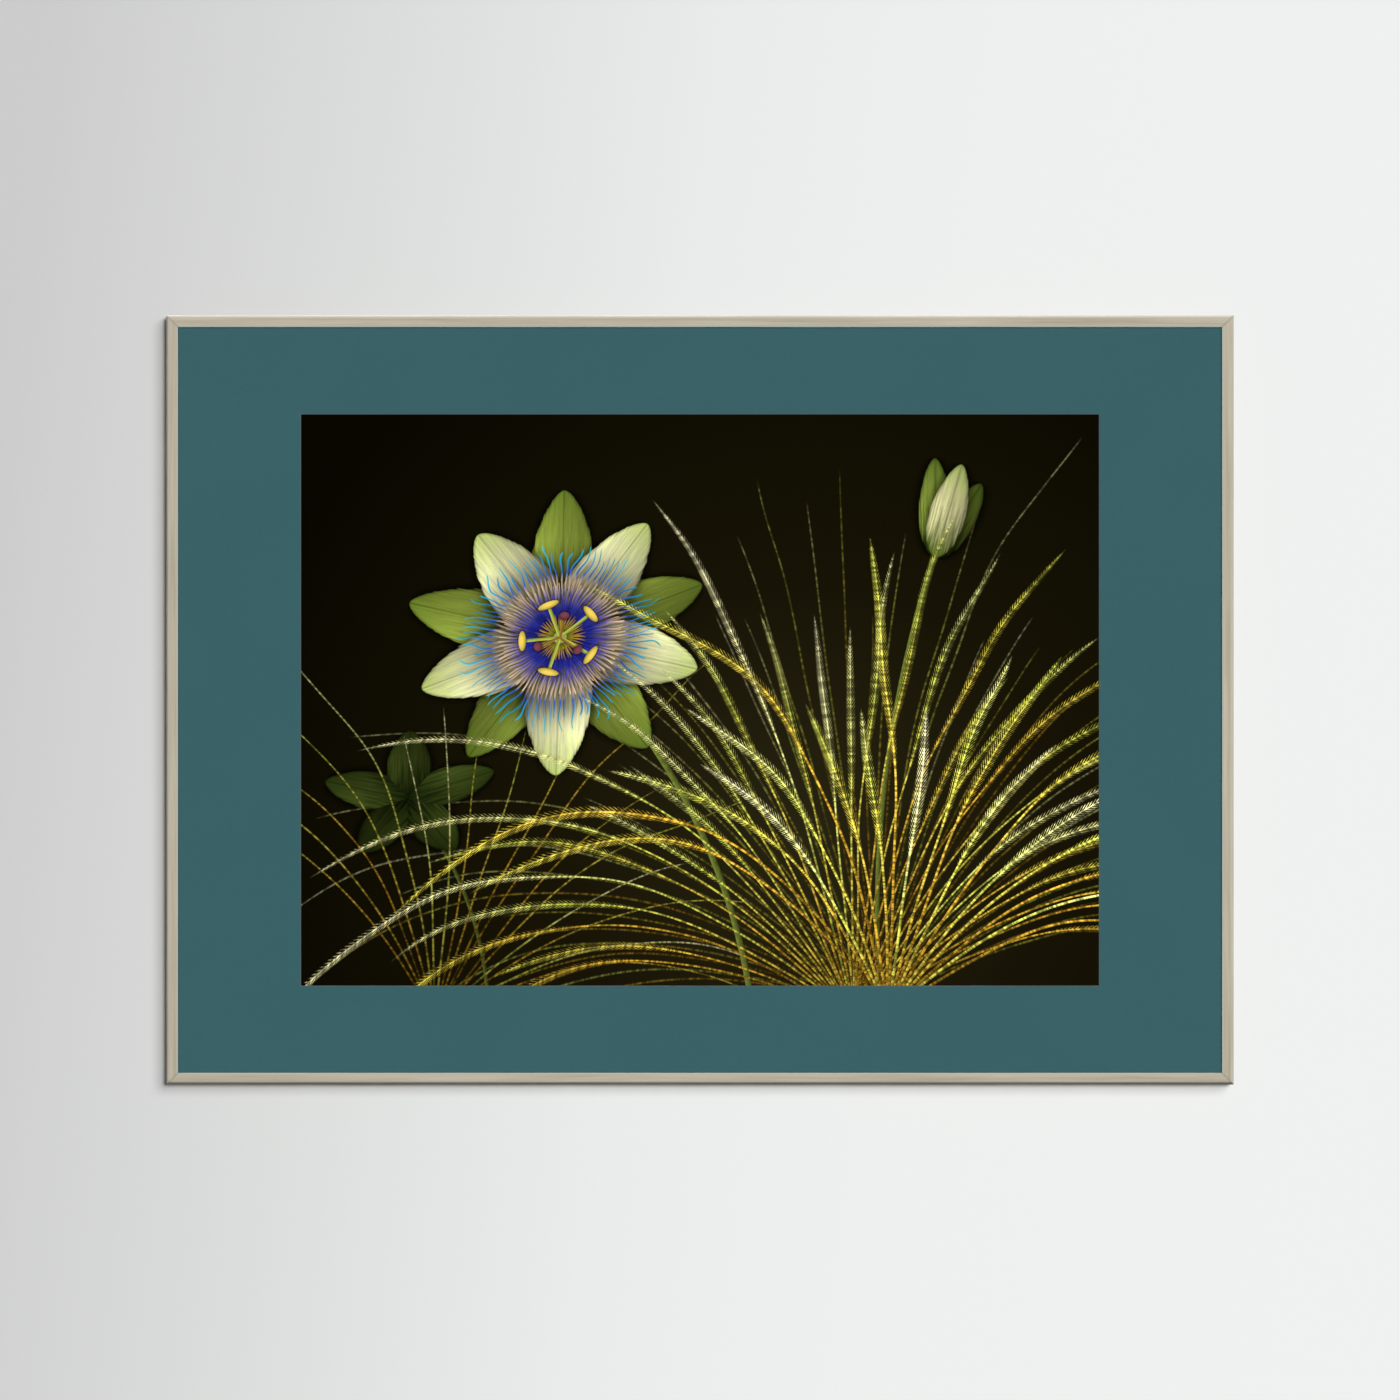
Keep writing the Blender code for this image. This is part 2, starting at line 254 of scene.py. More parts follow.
def linear(code: str) -> tuple[float, float, float, float]:
    """An sRGB hex colour as linear red, green, blue and a full alpha."""
    parts = [int(code[i : i + 2], 16) / 255 for i in (0, 2, 4)]
    red, green, blue = (p / 12.92 if p <= 0.04045 else ((p + 0.055) / 1.055) ** 2.4 for p in parts)
    return red, green, blue, 1.0


class Wiring:
    """A node tree being built, by one method that adds any kind of node."""

    def __init__(self, tree: bpy.types.NodeTree) -> None:
        """Starts on an empty tree."""
        self.tree = tree
        tree.nodes.clear()

    def add(self, kind: str, *given: Any, out: Any = 0, stops: Any = (), **settings: Any) -> Any:
        """Adds a node, sets it up and links it.

        Args:
            kind: its type without "ShaderNode", and after a dot its operation, if it has one.
            given: its inputs in order: a socket to link, a value, or None to leave it. A
                dict gives inputs by name or by place.
            out: which output to return, or a tuple of several.
            stops: a colour ramp's stops, each a place and a hex colour.
            settings: the node's own properties.

        Returns:
            The output socket, or a tuple of them.
        """
        kind, _, operation = kind.partition(".")
        node = self.tree.nodes.new("ShaderNode" + kind)
        if operation:
            node.operation = operation
        for name, value in settings.items():
            setattr(node, name, value)
        for i, (place, code) in enumerate(stops):
            elements = node.color_ramp.elements
            element = elements[i] if i < 2 else elements.new(place)
            element.position, element.color = place, linear(code)
        listed = [pair for pair in enumerate(given) if not isinstance(pair[1], dict)]
        named = [pair for value in given if isinstance(value, dict) for pair in value.items()]
        for key, value in listed + named:
            if isinstance(value, Socket):
                self.tree.links.new(value, node.inputs[key])
            elif value is not None:
                node.inputs[key].default_value = value
        if isinstance(out, tuple):
            return tuple(node.outputs[key] for key in out)
        return node.outputs[out] if len(node.outputs) else None


def laid_over(n: Wiring, canvas: Socket, colour: Any, cover: Socket) -> Socket:
    """The colour so far with another over it, as far as cover (0 to 1) hides it."""
    return n.add("Mix", {0: cover, 6: canvas, 7: colour}, out=2, data_type="RGBA")


@dataclass(frozen=True)
class Finish:
    """What a surface is made of and how it was made."""

    name: str

    def material(self) -> bpy.types.Material:
        """The finish as a Blender material."""
        made = bpy.data.materials.new(self.name)
        made.use_nodes = True
        wiring = Wiring(made.node_tree)
        wiring.add("OutputMaterial", self.shader(wiring))
        return made

    def shader(self, n: Wiring) -> Socket:
        """Adds the finish's nodes and returns its shader. Each finish has its own."""
        raise NotImplementedError


@dataclass(frozen=True)
class LimedOak(Finish):
    """Planed oak, limed and waxed: pale grey-beige, with long darker streaks and a satin edge.

    The streaks are drawn 1.5 to 5 mm wide, wider than oak's 0.3 mm pores, which are too fine
    to show from where the picture is seen. Lime lies thickest along the lip, as a cool pale
    line, and thinly along the worn outer edge. The lip's narrow wall is painted dark, as shade,
    and a thin grey line of painted shade runs inside the top and bottom rails' outer edges.
    """

    along: Side = Side.TOP
    middle_z: float = 0.0
    corner: float = 0.1  # half the opening's width, less half its height
    pale: str = "c2baa8"
    plain: str = "b6ae9a"
    dark: str = "a9a18c"
    rosy: str = "bfada0"
    lip_lime: str = "b0b4a9"
    edge_lime: str = "c9cac2"
    # painted shade: the dark colour laid on the lip's inner wall
    painted_lip_shade: str = "56524a"
    # painted shade: the colour of the grey line inside the top and bottom rails' outer edges
    painted_shade: str = "a19d94"
    streak_mm: float = 3.0
    fibre_mm: float = 1.1
    ring_mm: float = 3.4
    length_ratio: float = 45.0

    def shader(self, n: Wiring) -> Socket:
        """Streaks and fibres stretched along the rail, over a tone that drifts from end to end.

        Args:
            n: the node tree to add to.

        Returns:
            The shader.
        """
        squeeze = [MM / self.length_ratio if way else MM for way in self.along.along]
        place = n.add("TexCoord", out="Object")
        grain = n.add("VectorMath.MULTIPLY", place, squeeze)
        drift = n.add("TexNoise", {"Vector": place, "Scale": 9.0, "Detail": 1.0})
        streak = n.add(
            "TexNoise",
            {"Vector": grain, "Scale": 1 / self.streak_mm, "Detail": 3.0, "Roughness": 0.6},
        )
        fibre = n.add(
            "TexNoise",
            {"Vector": grain, "Scale": 1 / self.fibre_mm, "Detail": 2.0, "Roughness": 0.7},
        )
        mixed = n.add("Math.MULTIPLY_ADD", fibre, 0.45, n.add("Math.MULTIPLY", streak, 0.55))
        tone = n.add("Math.MULTIPLY_ADD", drift, 0.3, n.add("Math.SUBTRACT", mixed, 0.14))
        colour = n.add(
            "ValToRGB", tone, stops=[(0.34, self.dark), (0.66, self.pale), (0.5, self.plain)]
        )
        ring = n.add("TexNoise", {"Vector": grain, "Scale": 1 / self.ring_mm, "Detail": 1.0})
        blush = n.add("MapRange", ring, 0.42, 0.62, 0.0, 0.18, **SMOOTH)
        colour = laid_over(n, colour, linear(self.rosy), blush)
        # outer_edge and lip_edge lay lime; the grey line and the lip's wall are painted shade
        for edge, tone_there in (
            ("outer_edge", self.edge_lime),
            ("painted_shade_line", self.painted_shade),
            ("lip_edge", self.lip_lime),
            ("lip_wall", self.painted_lip_shade),
        ):
            near = n.add("Attribute", attribute_name=edge, out="Fac")
            colour = laid_over(n, colour, linear(tone_there), near)
        colour = n.add("VectorMath.SCALE", colour, {"Scale": self.glue_line(n, place)})
        pores = n.add("MapRange", fibre, 0.36, 0.5, 0.0, 1.0, **SMOOTH)
        return n.add(
            "BsdfPrincipled",
            {
                "Base Color": colour,
                "Roughness": n.add("MapRange", mixed, 0.35, 0.65, 0.58, 0.44),
                "Specular IOR Level": 0.35,
                "Normal": n.add("Bump", {"Strength": 0.35, "Distance": 0.00004, "Height": pores}),
            },
        )

    def glue_line(self, n: Wiring, place: Socket) -> Socket:
        """Darkens the wood that glue has wetted, beside the planes that the corners are cut on.

        Those planes are where |x| is |z - middle_z| plus the corner.

        Args:
            n: the node tree to add to.
            place: the spot, in metres.

        Returns:
            What the wood's colour is multiplied by.
        """
        x, z = n.add("SeparateXYZ", place, out=("X", "Z"))
        off = n.add("Math.ABSOLUTE", n.add("Math.SUBTRACT", z, self.middle_z))
        slope = n.add("Math.SUBTRACT", n.add("Math.ABSOLUTE", x), n.add("Math.ADD", off, self.corner))
        return n.add("MapRange", n.add("Math.ABSOLUTE", slope), 0.0003, 0.0012, 0.81, 1.0, **SMOOTH)


@dataclass(frozen=True)
class MatBoard(Finish):
    """Solid dyed mat board, cut by a blade: a dead matt petrol face and a paler, greyer core."""

    face: tuple[str, str] = ("3a6166", "3f676c")
    core: tuple[str, str] = ("5f797c", "6b8588")
    fibre_mm: float = 0.9
    cloud_mm: float = 70.0

    def shader(self, n: Wiring) -> Socket:
        """A felted face, with a light core where the piece's own attribute marks the cut.

        Args:
            n: the node tree to add to.

        Returns:
            The shader.
        """
        place = n.add("VectorMath.SCALE", n.add("TexCoord", out="Object"), {"Scale": MM})
        felt = n.add(
            "TexNoise",
            {"Vector": place, "Scale": 1 / self.fibre_mm, "Detail": 4.0, "Roughness": 0.75},
        )
        cloud = n.add("TexNoise", {"Vector": place, "Scale": 1 / self.cloud_mm, "Detail": 1.0})
        uneven = n.add("Math.MULTIPLY_ADD", cloud, 0.15, n.add("Math.MULTIPLY", felt, 0.85))
        face = n.add("ValToRGB", uneven, stops=list(zip((0.3, 0.7), self.face)))
        core = n.add("ValToRGB", felt, stops=list(zip((0.3, 0.7), self.core)))
        cut = n.add("Attribute", attribute_name="core", out="Fac")
        return n.add(
            "BsdfPrincipled",
            {
                "Base Color": laid_over(n, face, core, cut),
                "Roughness": n.add("MapRange", felt, 0.3, 0.7, 0.97, 0.88),
                "Specular IOR Level": 0.2,
                "Normal": n.add("Bump", {"Strength": 0.3, "Distance": 0.00003, "Height": felt}),
            },
        )


@dataclass(frozen=True)
class ClearAcrylic(Finish):
    """Cast acrylic with a reflection-cutting coat: clear, smooth, and hardly a glint."""

    def shader(self, n: Wiring) -> Socket:
        """Plain transmission. The tint only weakens the reflection, as the coat does."""
        return n.add(
            "BsdfPrincipled",
            {
                "Base Color": linear("fcfefd"),
                "Roughness": 0.0,
                "IOR": 1.49,
                "Transmission Weight": 1.0,
                "Specular Tint": (0.065, 0.07, 0.08, 1.0),
            },
        )


@dataclass(frozen=True)
class Hardboard(Finish):
    """Pressed wood fibre, its rough side out: brown, flecked, with the print of a wire screen."""

    fleck_mm: float = 2.6
    screen_mm: float = 2.4

    def shader(self, n: Wiring) -> Socket:
        """Flecks in two tones over faint clouds, and the screen's woven relief."""
        place = n.add("VectorMath.SCALE", n.add("TexCoord", out="Object"), {"Scale": MM})
        fleck = n.add(
            "TexNoise",
            {"Vector": place, "Scale": 1 / self.fleck_mm, "Detail": 5.0, "Roughness": 0.7},
        )
        cloud = n.add("TexNoise", {"Vector": place, "Scale": 1 / 90.0, "Detail": 2.0})
        x, z = n.add("SeparateXYZ", place, out=("X", "Z"))
        wires = [
            n.add("Math.SINE", n.add("Math.MULTIPLY", way, TURN / self.screen_mm))
            for way in (x, z)
        ]
        screen = n.add("Math.MULTIPLY", *wires)
        tone = n.add("Math.MULTIPLY_ADD", cloud, 0.14, n.add("Math.MULTIPLY", fleck, 0.89))
        tone = n.add("Math.MULTIPLY_ADD", screen, 0.025, tone)
        colour = n.add(
            "ValToRGB",
            tone,
            stops=[(0.32, "6f5236"), (0.72, "a98a63"), (0.52, "8f7049")],
        )
        height = n.add("Math.MULTIPLY_ADD", screen, 0.35, fleck)
        return n.add(
            "BsdfPrincipled",
            {
                "Base Color": colour,
                "Roughness": n.add("MapRange", fleck, 0.3, 0.7, 0.9, 0.72),
                "Specular IOR Level": 0.25,
                "Normal": n.add("Bump", {"Strength": 0.5, "Distance": 0.0001, "Height": height}),
            },
        )


@dataclass(frozen=True)
class PlatedSteel(Finish):
    """Stamped steel with a thin plating: bright, with fine rolling lines and dull patches."""

    bright: str = "d8d9da"
    dull: str = "a9abad"
    smooth: float = 0.28
    rough: float = 0.48
    line_mm: tuple[float, float] = (12.0, 0.4)
    patch_mm: float = 4.0

    def shader(self, n: Wiring) -> Socket:
        """A metal whose lines run along X, as the strip it was stamped from was rolled.

        Args:
            n: the node tree to add to.

        Returns:
            The shader.
        """
        place = n.add("TexCoord", out="Object")
        length, width = self.line_mm
        lines = n.add(
            "TexNoise",
            {
                "Vector": n.add("VectorMath.MULTIPLY", place, (MM / length, MM / width, MM / width)),
                "Scale": 1.0,
                "Detail": 2.0,
            },
        )
        patch = n.add("TexNoise", {"Vector": place, "Scale": MM / self.patch_mm, "Detail": 3.0})
        tone = n.add("Math.MULTIPLY_ADD", lines, 0.5, n.add("Math.MULTIPLY", patch, 0.5))
        return n.add(
            "BsdfPrincipled",
            {
                "Base Color": n.add(
                    "ValToRGB", tone, stops=[(0.35, self.dull), (0.65, self.bright)]
                ),
                "Metallic": 1.0,
                "Roughness": n.add("MapRange", tone, 0.35, 0.65, self.rough, self.smooth),
                "Normal": n.add("Bump", {"Strength": 0.2, "Distance": 0.00003, "Height": lines}),
            },
        )


# ---------------------------------------------------------------------------------------
# The print: a bloom and tall grasses on a near-black ground, drawn in millimetres from the
# window's middle. Each motif lays itself over the picture so far.
# ---------------------------------------------------------------------------------------


def polar(n: Wiring, spot: Socket) -> tuple[Socket, Socket]:
    """How far a spot lies from the middle of its plane, and at what angle."""
    r = n.add("VectorMath.LENGTH", spot, out="Value")
    return r, n.add("Math.ARCTAN2", *n.add("SeparateXYZ", spot, out=(0, 1)))


def sector(n: Wiring, spot: Socket, count: int, turn: float) -> tuple[Socket, Socket, Socket]:
    """Cuts the plane into equal sectors about its middle, and finds a spot's place in its own.

    With b the spot's angle from its sector's midline, and r its distance from the middle, it
    lies r cos b along the midline and r sin b across it.

    Args:
        n: the node tree to add to.
        spot: the spot, measured from the middle.
        count: how many sectors there are.
        turn: how far they are turned, in sectors.

    Returns:
        The spot's angle in sectors, and its distances along and across.
    """
    r, angle = polar(n, spot)
    share = TURN / count
    lane = n.add("Math.MULTIPLY_ADD", angle, 1 / share, turn)
    off = n.add("Math.MULTIPLY_ADD", n.add("Math.FRACT", lane), share, -share / 2)
    along = n.add("Math.MULTIPLY", r, n.add("Math.COSINE", off))
    across = n.add("Math.MULTIPLY", r, n.add("Math.SINE", off))
    return lane, along, across


@dataclass(frozen=True)
class GrassFan:
    """Fine blades that grow from one root, fan out and arch over.

    A blade that leaves the root at angle a has turned to a (1 + droop (r / reach)^2) at
    distance r. Solved for a, that gives the blade a spot lies by, and the angle left over
    times r is how far it lies from that blade's midline.
    """

    root: tuple[float, float]
    lean: float
    spread: float
    blades: int
    reach: float
    droop: float
    half_width: float
    light: float
    seed: float
    tones: tuple[str, str, str, str] = ("54400f", "c79a2e", "c3c650", "fbf0bd")
    soft: float = 0.4
    awn: float = 0.0
    shortest: float = 0.55

    def draw(self, n: Wiring, spot: Socket, canvas: Socket) -> Socket:
        """Lays the fan over the picture so far.

        Args:
            n: the node tree to add to.
            spot: the spot on the print, in millimetres from the window's middle.
            canvas: the picture so far.

        Returns:
            The picture with the fan on it.
        """
        add = n.add
        local = add(
            "Mapping",
            spot,
            {"Location": (*self.root, 0.0), "Rotation": (0.0, 0.0, -math.radians(self.lean))},
            vector_type="TEXTURE",
        )
        r, angle = polar(n, local)
        part = add("Math.DIVIDE", r, self.reach)
        bend = add("Math.MULTIPLY", part, part)
        turned = add("Math.MULTIPLY_ADD", bend, self.droop, 1.0)
        start = add("Math.DIVIDE", angle, turned)
        share = math.radians(self.spread) / self.blades
        lane = add("Math.MULTIPLY_ADD", start, 1 / share, self.blades / 2)
        blade = add("Math.FLOOR", lane)
        dice = add(
            "TexWhiteNoise",
            {"W": add("Math.ADD", blade, self.seed)},
            out="Color",
            noise_dimensions="1D",
        )
        long, shift, tint = add("SeparateColor", dice, out=(0, 1, 2))
        sway = add(
            "TexNoise",
            {
                "W": add("Math.MULTIPLY_ADD", blade, 7.3, add("Math.DIVIDE", r, 110.0)),
                "Scale": 1.0,
                "Detail": 0.0,
            },
            noise_dimensions="1D",
        )
        middle = add("Math.MULTIPLY_ADD", shift, 0.4, add("Math.MULTIPLY_ADD", sway, 0.5, 0.05))
        aside = add("Math.SUBTRACT", add("Math.FRACT", lane), middle)
        slant = add("Math.MULTIPLY", start, add("Math.MULTIPLY", bend, 2 * self.droop))
        upright = add("Math.INVERSE_SQRT", add("Math.MULTIPLY_ADD", slant, slant, 1.0))
        lane_width = add("Math.MULTIPLY", add("Math.MULTIPLY", turned, r), upright)
        across = add("Math.MULTIPLY", add("Math.MULTIPLY", aside, share), lane_width)
        away = add("Math.ABSOLUTE", across)
        tip = add("Math.DIVIDE", part, add("Math.MULTIPLY_ADD", long, 1 - self.shortest, self.shortest))
        left = add("Math.SUBTRACT", 1.0, tip)
        half = add("Math.MULTIPLY", add("Math.SQRT", left), self.half_width)
        cover = add(
            "Math.MULTIPLY_ADD",
            add("Math.SUBTRACT", half, away),
            1 / self.soft,
            0.5,
            use_clamp=True,
        )
        if self.awn:
            cover = self.with_awns(n, cover, r, away, tip)
        ends = add("MapRange", left, 0.0, 0.03, 0.0, 1.0)
        inside = add(
            "Math.LESS_THAN", add("Math.ABSOLUTE", start), math.radians(self.spread) / 2
        )
        cover = add("Math.MULTIPLY", cover, add("Math.MULTIPLY", ends, inside))
        glint = add(
            "TexNoise",
            {
                "Vector": add("CombineXYZ", r, add("Math.MULTIPLY", blade, 9.1)),
                "Scale": 0.3,
                "Detail": 3.0,
                "Roughness": 0.75,
            },
            noise_dimensions="2D",
        )
        shine = add("MapRange", glint, 0.4, 0.66, 0.35, 1.7, **SMOOTH)
        lit = add("MapRange", across, -self.half_width, self.half_width, 1.15, 0.55)
        level = add("Math.MULTIPLY", add("Math.MULTIPLY", shine, lit), self.light)
        level = add("Math.MULTIPLY", level, add("MapRange", tip, 0.0, 0.5, 0.35, 1.0))
        tone = add("Math.MULTIPLY_ADD", tint, 0.5, add("Math.MULTIPLY", tip, 0.55))
        places = (0.0, 1.0, 0.3, 0.66)
        hues = (self.tones[0], self.tones[3], self.tones[1], self.tones[2])
        hue = add("ValToRGB", tone, stops=list(zip(places, hues)))
        colour = add("VectorMath.SCALE", hue, {"Scale": level})
        return laid_over(n, canvas, colour, cover)

    def with_awns(self, n: Wiring, cover: Socket, r: Socket, away: Socket, tip: Socket) -> Socket:
        """Adds the seed head's awns: short hairs every 2.6 mm, swept towards the tip.

        Args:
            n: the node tree to add to.
            cover: how far the blade itself covers the spot.
            r: how far the spot lies from the root.
            away: how far it lies from the blade's midline.
            tip: its share of the way from the root to the blade's tip.

        Returns:
            How far blade and awns together cover the spot.
        """
        add = n.add
        swept = add("Math.MULTIPLY_ADD", away, -1.9, r)
        hair = add("Math.PINGPONG", swept, 1.3)
        hair = add("MapRange", hair, 0.55, 0.05, 0.0, 1.0)
        ear = add("Math.SINE", add("MapRange", tip, 0.5, 1.0, 0.0, math.pi))
        room = add("Math.MULTIPLY", add("Math.SQRT", ear), self.awn)
        room = add("MapRange", add("Math.SUBTRACT", room, away), 0.0, 1.2, 0.0, 0.9)
        return add("Math.MAXIMUM", cover, add("Math.MULTIPLY", hair, room))


@dataclass(frozen=True)
class Stem:
    """A stalk along an arc of a circle, round and lit from the left."""

    start: tuple[float, float]
    end: tuple[float, float]
    bow: float
    half_width: float
    light: float = 0.6
    tone: str = "7f8c3a"

    def draw(self, n: Wiring, spot: Socket, canvas: Socket) -> Socket:
        """Lays the stalk over the picture so far.

        Its circle passes through both ends and the point that stands off the middle of the
        straight between them by the bow. A spot is on the stalk where its distance from the
        circle's middle is the radius, give or take the half width.

        Args:
            n: the node tree to add to.
            spot: the spot on the print, in millimetres from the window's middle.
            canvas: the picture so far.

        Returns:
            The picture with the stalk on it.
        """
        add = n.add
        start, end = np.array(self.start), np.array(self.end)
        chord = end - start
        length = float(np.linalg.norm(chord))
        unit = chord / length
        radius = (length**2 / 4 + self.bow**2) / (2 * abs(self.bow))
        normal = np.array([-unit[1], unit[0]]) * math.copysign(1.0, self.bow)
        centre = (start + end) / 2 + normal * (abs(self.bow) - radius)
        from_centre = add("VectorMath.SUBTRACT", spot, (*centre.tolist(), 0.0))
        far = add("VectorMath.LENGTH", from_centre, out="Value")
        across = add("Math.SUBTRACT", far, radius)
        from_start = add("VectorMath.SUBTRACT", spot, (*start.tolist(), 0.0))
        along = add("VectorMath.DOT_PRODUCT", from_start, (*unit.tolist(), 0.0), out="Value")
        from_halfway = add("Math.ABSOLUTE", add("Math.SUBTRACT", along, length / 2))
        within = add("Math.LESS_THAN", from_halfway, length / 2)
        edge = add("Math.SUBTRACT", self.half_width, add("Math.ABSOLUTE", across))
        cover = add("Math.MULTIPLY", add("Math.MULTIPLY_ADD", edge, 2.2, 0.5, use_clamp=True), within)
        near = add("VectorMath.DOT_PRODUCT", from_centre, (-0.6, 0.8, 0.0), out="Value")
        side = add("Math.MULTIPLY", add("Math.SIGN", near), across)
        shadowed, lit = 0.35 * self.light, 1.5 * self.light
        level = add("MapRange", side, -self.half_width, self.half_width, shadowed, lit)
        fleck = add("TexNoise", {"Vector": spot, "Scale": 0.35, "Detail": 3.0})
        level = add("Math.MULTIPLY", level, add("MapRange", fleck, 0.3, 0.7, 0.75, 1.25))
        colour = add("VectorMath.SCALE", linear(self.tone)[:3], {"Scale": level})
        return laid_over(n, canvas, colour, cover)


@dataclass(frozen=True)
class PetalRing:
    """A ring of long petals about the bloom's middle.

    A spot's angle picks its petal, and r cos and r sin of the angle left over say how far
    along that petal it lies and how far from its midrib. The petal's half width there is
    width (sin(pi (along / length)^0.85))^0.6.
    """

    petals: int
    turn: float
    length: float
    half_width: float
    seed: float
    light: float
    tones: tuple[str, str, str]

    def draw(self, n: Wiring, local: Socket, canvas: Socket) -> Socket:
        """Lays the ring, and its soft shadow, over the picture so far.

        Args:
            n: the node tree to add to.
            local: the spot, in millimetres from the flower's middle.
            canvas: the picture so far.

        Returns:
            The picture with the ring on it.
        """
        add = n.add
        lane, along, across = sector(n, local, self.petals, self.turn)
        petal = add("Math.FLOOR", lane)
        dice = add(
            "TexWhiteNoise",
            {"W": add("Math.ADD", petal, self.seed)},
            out="Value",
            noise_dimensions="1D",
        )
        part = add("Math.DIVIDE", along, add("Math.MULTIPLY_ADD", dice, 9.0, self.length - 6.0))
        swell = add("Math.SINE", add("Math.MULTIPLY", add("Math.POWER", part, 0.85), math.pi))
        vein = add(
            "TexNoise",
            {
                "Vector": add(
                    "CombineXYZ",
                    across,
                    add("Math.MULTIPLY_ADD", along, 0.06, add("Math.MULTIPLY", petal, 11.0)),
                ),
                "Scale": 0.55,
                "Detail": 4.0,
                "Roughness": 0.65,
            },
            noise_dimensions="2D",
        )
        ruffle = add("Math.MULTIPLY_ADD", vein, 0.2, 0.9)
        half = add("Math.MULTIPLY", add("Math.POWER", swell, 0.6), ruffle)
        half = add("Math.MULTIPLY", half, self.half_width)
        away = add("Math.ABSOLUTE", across)
        inset = add("Math.SUBTRACT", half, away)
        reach = add("Math.LESS_THAN", add("Math.ABSOLUTE", add("Math.SUBTRACT", part, 0.5)), 0.5)
        shade = add("MapRange", inset, -7.0, 2.0, 1.0, 0.25, **SMOOTH)
        shade = add("MapRange", reach, 0.0, 1.0, 1.0, shade)
        canvas = add("VectorMath.SCALE", canvas, {"Scale": shade})
        cover = add("Math.MULTIPLY", add("Math.MULTIPLY_ADD", inset, 1.6, 0.5, use_clamp=True), reach)
        hue = add(
            "ValToRGB",
            add("Math.MULTIPLY_ADD", vein, 0.5, add("Math.MULTIPLY_ADD", part, 0.8, -0.2)),
            stops=[(0.1, self.tones[0]), (0.95, self.tones[2]), (0.5, self.tones[1])],
        )
        lit = add("MapRange", across, -self.half_width, self.half_width, 1.2, 0.45)
        rib = add("MapRange", away, 0.0, 1.1, 0.62, 1.0, **SMOOTH)
        veined = add("MapRange", vein, 0.35, 0.65, 0.72, 1.15)
        rim = add("MapRange", inset, 0.0, 2.6, 0.55, 1.0, **SMOOTH)
        level = add("Math.MULTIPLY", add("Math.MULTIPLY", lit, rib), add("Math.MULTIPLY", veined, rim))
        level = add("Math.MULTIPLY", level, add("Math.MULTIPLY_ADD", dice, 0.35, self.light))
        return laid_over(n, canvas, add("VectorMath.SCALE", hue, {"Scale": level}), cover)


@dataclass(frozen=True)
class FilamentRing:
    """A ring of fine threads between two radii, each with its own length and waver.

    The spot's angle, moved by a sine of its distance, picks the thread, and the angle left
    over times r is how far it lies from the thread's middle.
    """

    threads: int
    inner: float
    outer: float
    half_width: float
    waver: float
    seed: float
    stops: tuple[tuple[float, str], ...]
    shadow: float = 0.5

    def draw(self, n: Wiring, local: Socket, canvas: Socket) -> Socket:
        """Lays the ring over the picture so far, and darkens what lies between its threads.

        Args:
            n: the node tree to add to.
            local: the spot, in millimetres from the flower's middle.
            canvas: the picture so far.

        Returns:
            The picture with the ring on it.
        """
        add = n.add
        r, angle = polar(n, local)
        share = TURN / self.threads
        part = add("MapRange", r, self.inner, self.outer, 0.0, 1.0, clamp=False)
        broad = add("Math.SINE", add("Math.MULTIPLY_ADD", angle, 7.0, add("Math.MULTIPLY", r, 0.09)))
        bent = add("Math.MULTIPLY_ADD", add("Math.MULTIPLY", broad, part), self.waver * share, angle)
        lane = add("Math.DIVIDE", bent, share)
        thread = add("Math.FLOOR", lane)
        dice = add(
            "TexWhiteNoise",
            {"W": add("Math.ADD", thread, self.seed)},
            out="Color",
            noise_dimensions="1D",
        )
        long, shift, bright = add("SeparateColor", dice, out=(0, 1, 2))
        curl = add("Math.SINE", add("Math.MULTIPLY_ADD", r, 0.3, add("Math.MULTIPLY", shift, TURN)))
        middle = add("Math.MULTIPLY_ADD", shift, 0.36, add("Math.MULTIPLY_ADD", curl, 0.12, 0.32))
        aside = add("Math.SUBTRACT", add("Math.FRACT", lane), middle)
        across = add("Math.MULTIPLY", add("Math.MULTIPLY", aside, r), share)
        away = add("Math.ABSOLUTE", across)
        tip = add("Math.DIVIDE", part, add("Math.MULTIPLY_ADD", long, 0.22, 0.78))
        half = add("MapRange", tip, 0.0, 1.0, self.half_width, self.half_width * 0.55)
        cover = add("Math.MULTIPLY_ADD", add("Math.SUBTRACT", half, away), 2.2, 0.5, use_clamp=True)
        past_root = add("Math.GREATER_THAN", part, 0.0)
        ends = add("Math.MULTIPLY", add("MapRange", tip, 1.0, 0.96, 0.0, 1.0), past_root)
        between = add("MapRange", part, 0.55, 1.05, 1.0 - self.shadow, 1.0, **SMOOTH)
        between = add("MapRange", past_root, 0.0, 1.0, 1.0, between)
        canvas = add("VectorMath.SCALE", canvas, {"Scale": between})
        hue = add("ValToRGB", part, stops=self.stops)
        lit = add("MapRange", across, -self.half_width, self.half_width, 1.25, 0.45)
        level = add("Math.MULTIPLY", lit, add("Math.MULTIPLY_ADD", bright, 0.55, 0.6))
        colour = add("VectorMath.SCALE", hue, {"Scale": level})
        return laid_over(n, canvas, colour, add("Math.MULTIPLY", cover, ends))


